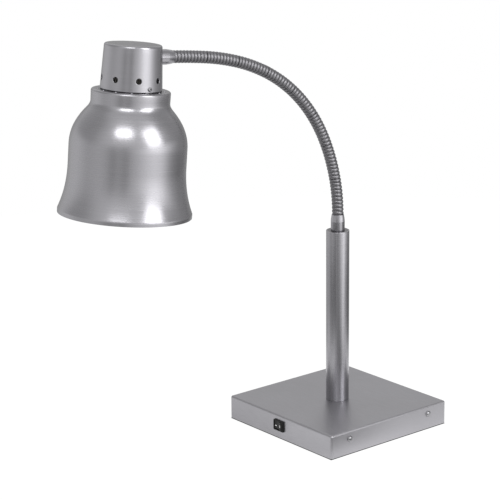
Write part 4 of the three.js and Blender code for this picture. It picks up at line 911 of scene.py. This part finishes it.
def shade_outline():
    """The bell's section, from its mouth up the skirt, over the dome and collar, and in to the lampholder."""
    mouth, body = MOUTH_RADIUS, BODY_RADIUS
    flare, spread = SKIRT_TOP - LIP_TOP, mouth - body
    skirt = bezier([
        (mouth, LIP_TOP), (mouth - spread * 0.39, LIP_TOP + flare * 0.19),
        (body + spread * 0.03, LIP_TOP + flare * 0.5), (body, SKIRT_TOP),
    ], 30)
    rise, draw = DOME_TOP - DOME_FOOT, body - THROAT_RADIUS
    dome = bezier([
        (body, DOME_FOOT), (body, DOME_FOOT + rise * 0.376), (body - draw * 0.337, DOME_FOOT + rise * 0.682),
        (THROAT_RADIUS, DOME_TOP),
    ], 32)
    throat = bezier([(THROAT_RADIUS, DOME_TOP), (45.8, DOME_TOP + 4.95), (45.8, 131.5)], 10)
    crown = bezier([(COLLAR_RADIUS, SHADE_TOP - 3), (COLLAR_RADIUS, SHADE_TOP), (COLLAR_RADIUS - 3, SHADE_TOP)], 10)
    straight = [(mouth, 0.0), (mouth, 1.5), (mouth, 3.0)]
    middle = [(body, 62.0), (body, 71.0)]
    collar = [(45.85, 135.0), (45.95, 139.0)]
    shoulder = [(36.0, SHADE_TOP), (27.0, SHADE_TOP), (19.9, SHADE_TOP)]
    return np.concatenate([straight, skirt, middle, dome, throat[1:], collar, crown, shoulder])


# Where the middle of the shade's mouth comes to, (y, z) in metres, once places are turned to the bell's axis
HEAD_AXIS = (
    (HEAD_Y * math.cos(HEAD_TILT) - HEAD_Z * math.sin(HEAD_TILT)) / 1000,
    (HEAD_Y * math.sin(HEAD_TILT) + HEAD_Z * math.cos(HEAD_TILT)) / 1000,
)


def spun_steel(name, tone, roughness):
    """Spun steel brushed on the lathe: lines that run round the bell's own axis, at every height and radius."""
    spun = Finish(name, tone, roughness, 1.0, anisotropic=0.25, anisotropic_rotation=0.25)
    place = spun.stretched(spun.place(), (1, 1, 1), (HEAD_TILT, 0, 0))
    x, y, z = spun.split(place)
    axis_y, axis_z = HEAD_AXIS
    y, z = y - axis_y, z - axis_z
    radius = (x * x + y * y) ** 0.5
    lathe = spun.node("ShaderNodeCombineXYZ", None, {0: radius * 500 + x * 10, 1: z * 500 + y * 10, 2: x * 8})
    lines = spun.noise(lathe, 1, 3)
    fine = spun.noise(spun.stretched(lathe, (3.1, 3.1, 2)), 1, 2)
    cloud = spun.noise(place, 16, 3)
    mixed = lines * 0.4 + fine * 0.35 + cloud * 0.25
    spun.set("Base Color", spun.shades(mixed.rise(0.3, 0.7), 0.032))
    spun.set("Roughness", lines * 0.08 + cloud * 0.06 + (roughness - 0.07))
    spun.bump(lines * 0.6 + fine * 0.4, 0.000002)
    return spun


spun = spun_steel("spun_shade_steel", STEEL, 0.27)
piece("bell_shade", "head", "shade", spun, skin(on_head(turned(wall(shade_outline(), SHADE_WALL), 192)), loop=True),
      stands_for=["shade"])

PIPS = 13
PIP_CIRCLE = 38.6
pip = rounded([(0, 0.8, 0), (0.8, 0.75, 0.8), (1.2, 0, 0.3), (1.2, -0.3, 0), (0, -0.3, 0)])
pips = []
for number in range(PIPS):
    turn = math.pi + number / PIPS * math.tau
    spot = [PIP_CIRCLE * math.sin(turn), PIP_CIRCLE * math.cos(turn), SHADE_TOP]
    pips.append(skin(on_head(turned(pip, 24) + spot)))
piece("shade_pips", "head", "shade", polished, *pips)


# Cap. A drawn steel cup over the lampholder, standing clear of the shade's shoulder on a bracket, with eight
# round vents near its rim and a screw on each side. Its wall is one sheet, pierced and deburred.

CAP_BOTTOM = 146.3
CAP_TOP = 198.0
CAP_FOOT_RADIUS = 36
CAP_TOP_RADIUS = 33.4
CAP_WALL = 1.1
CAP_EDGE = 2.8
CUT_EDGE = 0.45
VENTS = 8
VENT_LEVEL = 159.0
VENT_RADIUS = 3.3
VENT_FOOT = 149.5
VENT_TOP = 171.0
VENT_STEPS = 12
BAND_RADIUS = 35.4


def cap_radius(height):
    """The cap's straight taper: from the foot's radius to the top's, by the share of the height."""
    share = (height - CAP_BOTTOM) / (CAP_TOP - CAP_BOTTOM)
    return CAP_FOOT_RADIUS + (CAP_TOP_RADIUS - CAP_FOOT_RADIUS) * share


def round_cap(turn, height):
    """A point of the cap's wall at an angle from the post's side and a height."""
    radius = cap_radius(height)
    return np.stack([radius * np.sin(turn), radius * np.cos(turn), height], -1)


def vent_patch(middle):
    """A vent's part of the vent band: rings from the vent's circle out to the patch's square edge."""
    half = math.pi / VENTS
    side = np.linspace(-1, 1, VENT_STEPS + 1)[:-1]
    one = np.ones(VENT_STEPS)
    edges = ((side, -one), (one, side), (-side, one), (-one, -side))
    square = np.concatenate([np.stack(pair, -1) for pair in edges])
    edge_turn = square[:, 0] * half
    edge_level = np.where(square[:, 1] > 0, VENT_TOP - VENT_LEVEL, VENT_LEVEL - VENT_FOOT) * square[:, 1]
    bearing = np.arctan2(edge_level, edge_turn * BAND_RADIUS)
    hole_turn = VENT_RADIUS * np.cos(bearing) / cap_radius(VENT_LEVEL)
    hole_level = VENT_RADIUS * np.sin(bearing)
    share = np.array([0, 0.1, 0.2, 0.32, 0.46, 0.62, 0.8, 1.0])[:, None]
    turn = middle + hole_turn + (edge_turn - hole_turn) * share
    level = VENT_LEVEL + hole_level + (edge_level - hole_level) * share
    return round_cap(turn, level)


def ring_faces(rows, columns):
    """Quads between rings of points that are numbered ring by ring."""
    number = np.arange(rows * columns).reshape(rows, columns)
    ahead = np.roll(number, -1, 1)
    return np.stack([number[:-1], ahead[:-1], ahead[1:], number[1:]], -1).reshape(-1, 4)


def cap_sheet():
    """The cap's outer surface: a patch for each vent, the bands below and above them, the rounded edge and the
    top."""
    points, faces, start = [], [], 0

    def lay(rows):
        nonlocal start
        points.append(rows.reshape(-1, 3))
        faces.append(ring_faces(*rows.shape[:2]) + start)
        start += rows.shape[0] * rows.shape[1]

    for number in range(VENTS):
        lay(vent_patch((number + 0.5) * math.tau / VENTS))
    turn = np.arange(VENTS * VENT_STEPS) * math.tau / (VENTS * VENT_STEPS)
    for levels in ([CAP_BOTTOM, 147, VENT_FOOT], [VENT_TOP, 177, 183, 189, CAP_TOP - CAP_EDGE]):
        lay(round_cap(turn, np.array(levels, float)[:, None] + 0 * turn))
    side = (cap_radius(CAP_TOP - CAP_EDGE), CAP_TOP - CAP_EDGE)
    edge = bezier([side, (cap_radius(CAP_TOP), CAP_TOP), (side[0] - CAP_EDGE, CAP_TOP)], 8)
    flat = [(r, CAP_TOP) for r in (24.0, 16.0, 8.0, 1.5)]
    top = np.concatenate([edge, flat])
    lay(np.stack([top[:, :1] * np.sin(turn), top[:, :1] * np.cos(turn), top[:, 1:] + 0 * turn], -1))
    points.append(np.array([[0, 0, CAP_TOP]]))
    rim = start - len(turn) + np.arange(len(turn))
    fan = np.stack([rim, np.roll(rim, -1), np.full(len(turn), start)], -1)
    return np.concatenate(points), np.concatenate(faces), fan


def sheet_piece(name, body, slot, finish, points, quads, triangles, thickness, stands_for):
    """A sheet of metal from its outer surface: doubles merged, faces turned outwards, a wall inwards, and a
    small bevel on its cut edges."""
    mesh = bpy.data.meshes.new(name)
    mesh.from_pydata(on_head(points), [], quads.tolist() + triangles.tolist())
    whole = bmesh.new()
    whole.from_mesh(mesh)
    bmesh.ops.remove_doubles(whole, verts=whole.verts, dist=1e-6)
    bmesh.ops.recalc_face_normals(whole, faces=whole.faces)
    whole.to_mesh(mesh)
    whole.free()
    mesh.shade_smooth()
    mesh.materials.append(finish.owner)
    made = added(name, mesh)
    solidify = made.modifiers.new("wall", "SOLIDIFY")
    solidify.thickness = thickness
    solidify.offset = -1
    bevel = made.modifiers.new("deburred", "BEVEL")
    bevel.width = CUT_EDGE / 1000
    bevel.segments = 3
    bevel.limit_method = "ANGLE"
    bevel.angle_limit = math.radians(50)
    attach(made, body)
    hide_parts(*stands_for)


cap_steel = spun_steel("drawn_cap_steel", STEEL, 0.25)
sheet_piece("vented_cap", "head", "cap", cap_steel, *cap_sheet(), CAP_WALL / 1000, ["cap"])

CAP_SCREW_LEVEL = 150
cap_screw = rounded([
    (0, 0.3, 0), (1.4, 0.3, 0), (1.45, 1.8, 0.1), (1.85, 1.8, 0.4), (2.6, 0.8, 0.6), (2.6, 0, 0.1), (1.4, 0, 0),
    (1.4, -4.9, 0.2), (0, -4.9, 0),
])
seat = cap_radius(CAP_SCREW_LEVEL) + 0.05
rows = turned(cap_screw, 36)
for number, side in enumerate((-1, 1), 1):
    laid = np.stack([rows[..., 2] * side + side * seat, rows[..., 0], rows[..., 1] + CAP_SCREW_LEVEL], -1)
    piece(f"cap_screw_head_{number}", "head", "screws", nickel, skin(on_head(laid)),
          stands_for=[f"cap_screw_{number}"])


# Lampholder and bracket. A porcelain lampholder clamped through the shade's top by its ring, with a brass
# thread inside, and a plated bracket whose ears carry the cap's two screws.

porcelain = plain("glazed_porcelain", (0.72, 0.7, 0.65), 0.22, 0, 0.03, 300, 0.00002, coat_weight=0.4)
dress(zinc, "cap_bracket")
dress(porcelain, "lampholder_body", "shade_ring")


# Bulb. A 125 mm reflector heat bulb: blown glass silvered inside down to its shoulder, with a ruby face,
# on a brass screw base with a black glass insulator and a solder contact.

BULB_RADIUS = 62.5
BULB_FACE = 10.0
BULB_WALL = 0.9
RED_TOP = 29.0


def bulb_outline():
    """The bulb's section, from the middle of its face round the girth and up the cone to its neck."""
    bulb, neck, stem = BULB_RADIUS, 19, 12.0
    girth, throat, shoulder = 45.0, 116.0, 128.0
    rise, draw, drop = throat - girth, bulb - neck, neck - stem
    face = bezier([(0, BULB_FACE), (35, BULB_FACE), (bulb, BULB_FACE + 14.7), (bulb, girth)], 32)
    cone = bezier([
        (bulb, girth), (bulb, girth + rise * 0.4), (neck + draw * 0.18, throat - rise * 0.28), (neck + 0.4, throat),
    ], 30)
    narrowing = bezier([(neck, shoulder), (neck, shoulder + drop * 1.3), (stem, shoulder + drop * 1.7)], 10)
    return np.concatenate([face, cone[1:], narrowing, [(stem, 150.0), (stem, 161.0)]])


def bulb_glass():
    """Glass silvered from its neck down to near the face, and ruby on the face, with a soft edge between."""
    glass = Finish("ruby_and_silver_glass", (0.5, 0.5, 0.52), 0.16, 0.0, coat_weight=1.0, coat_roughness=0.05)
    place = glass.stretched(glass.place(), (1, 1, 1), (HEAD_TILT, 0, 0))
    _, _, z = glass.split(place)
    height = (z - HEAD_AXIS[1]) * 1000
    silver = height.rise(RED_TOP - 1.2, RED_TOP + 1.2)
    cloud = glass.noise(place, 30, 3)
    tone = glass.between(silver, (0.33, 0.008, 0.006), (0.52, 0.52, 0.54))
    glass.set("Base Color", tone)
    glass.set("Metallic", silver * 0.85)
    glass.set("Roughness", cloud * 0.1 + 0.1)
    glass.bump(cloud, 0.0001, 0.3)
    return glass


ruby = bulb_glass()
piece("bulb_bowl", "head", "bulb_glass", ruby, skin(on_head(turned(wall(bulb_outline(), BULB_WALL), 128))),
      stands_for=["bulb_envelope"])
dress(plain("black_glass_seal", (0.012, 0.01, 0.009), 0.15, 0, 0.2, 400, 0.00001), "bulb_insulator")
dress(brass, "bulb_screw_base")
dress(plain("tin_solder", (0.5, 0.49, 0.47), 0.35, 1.0, 0.1, 600), "bulb_contact")
clear_glass = plain("clear_lead_glass", (0.6, 0.65, 0.64), 0.08, 0, 0.03, 300, 0.00001, transmission_weight=0.9)
dress(clear_glass, "bulb_stem")
dress(plain("tungsten_wire", (0.3, 0.29, 0.28), 0.4, 1.0, 0.1, 900), "bulb_filament")


bpy.context.scene.view_settings.view_transform = "Standard"
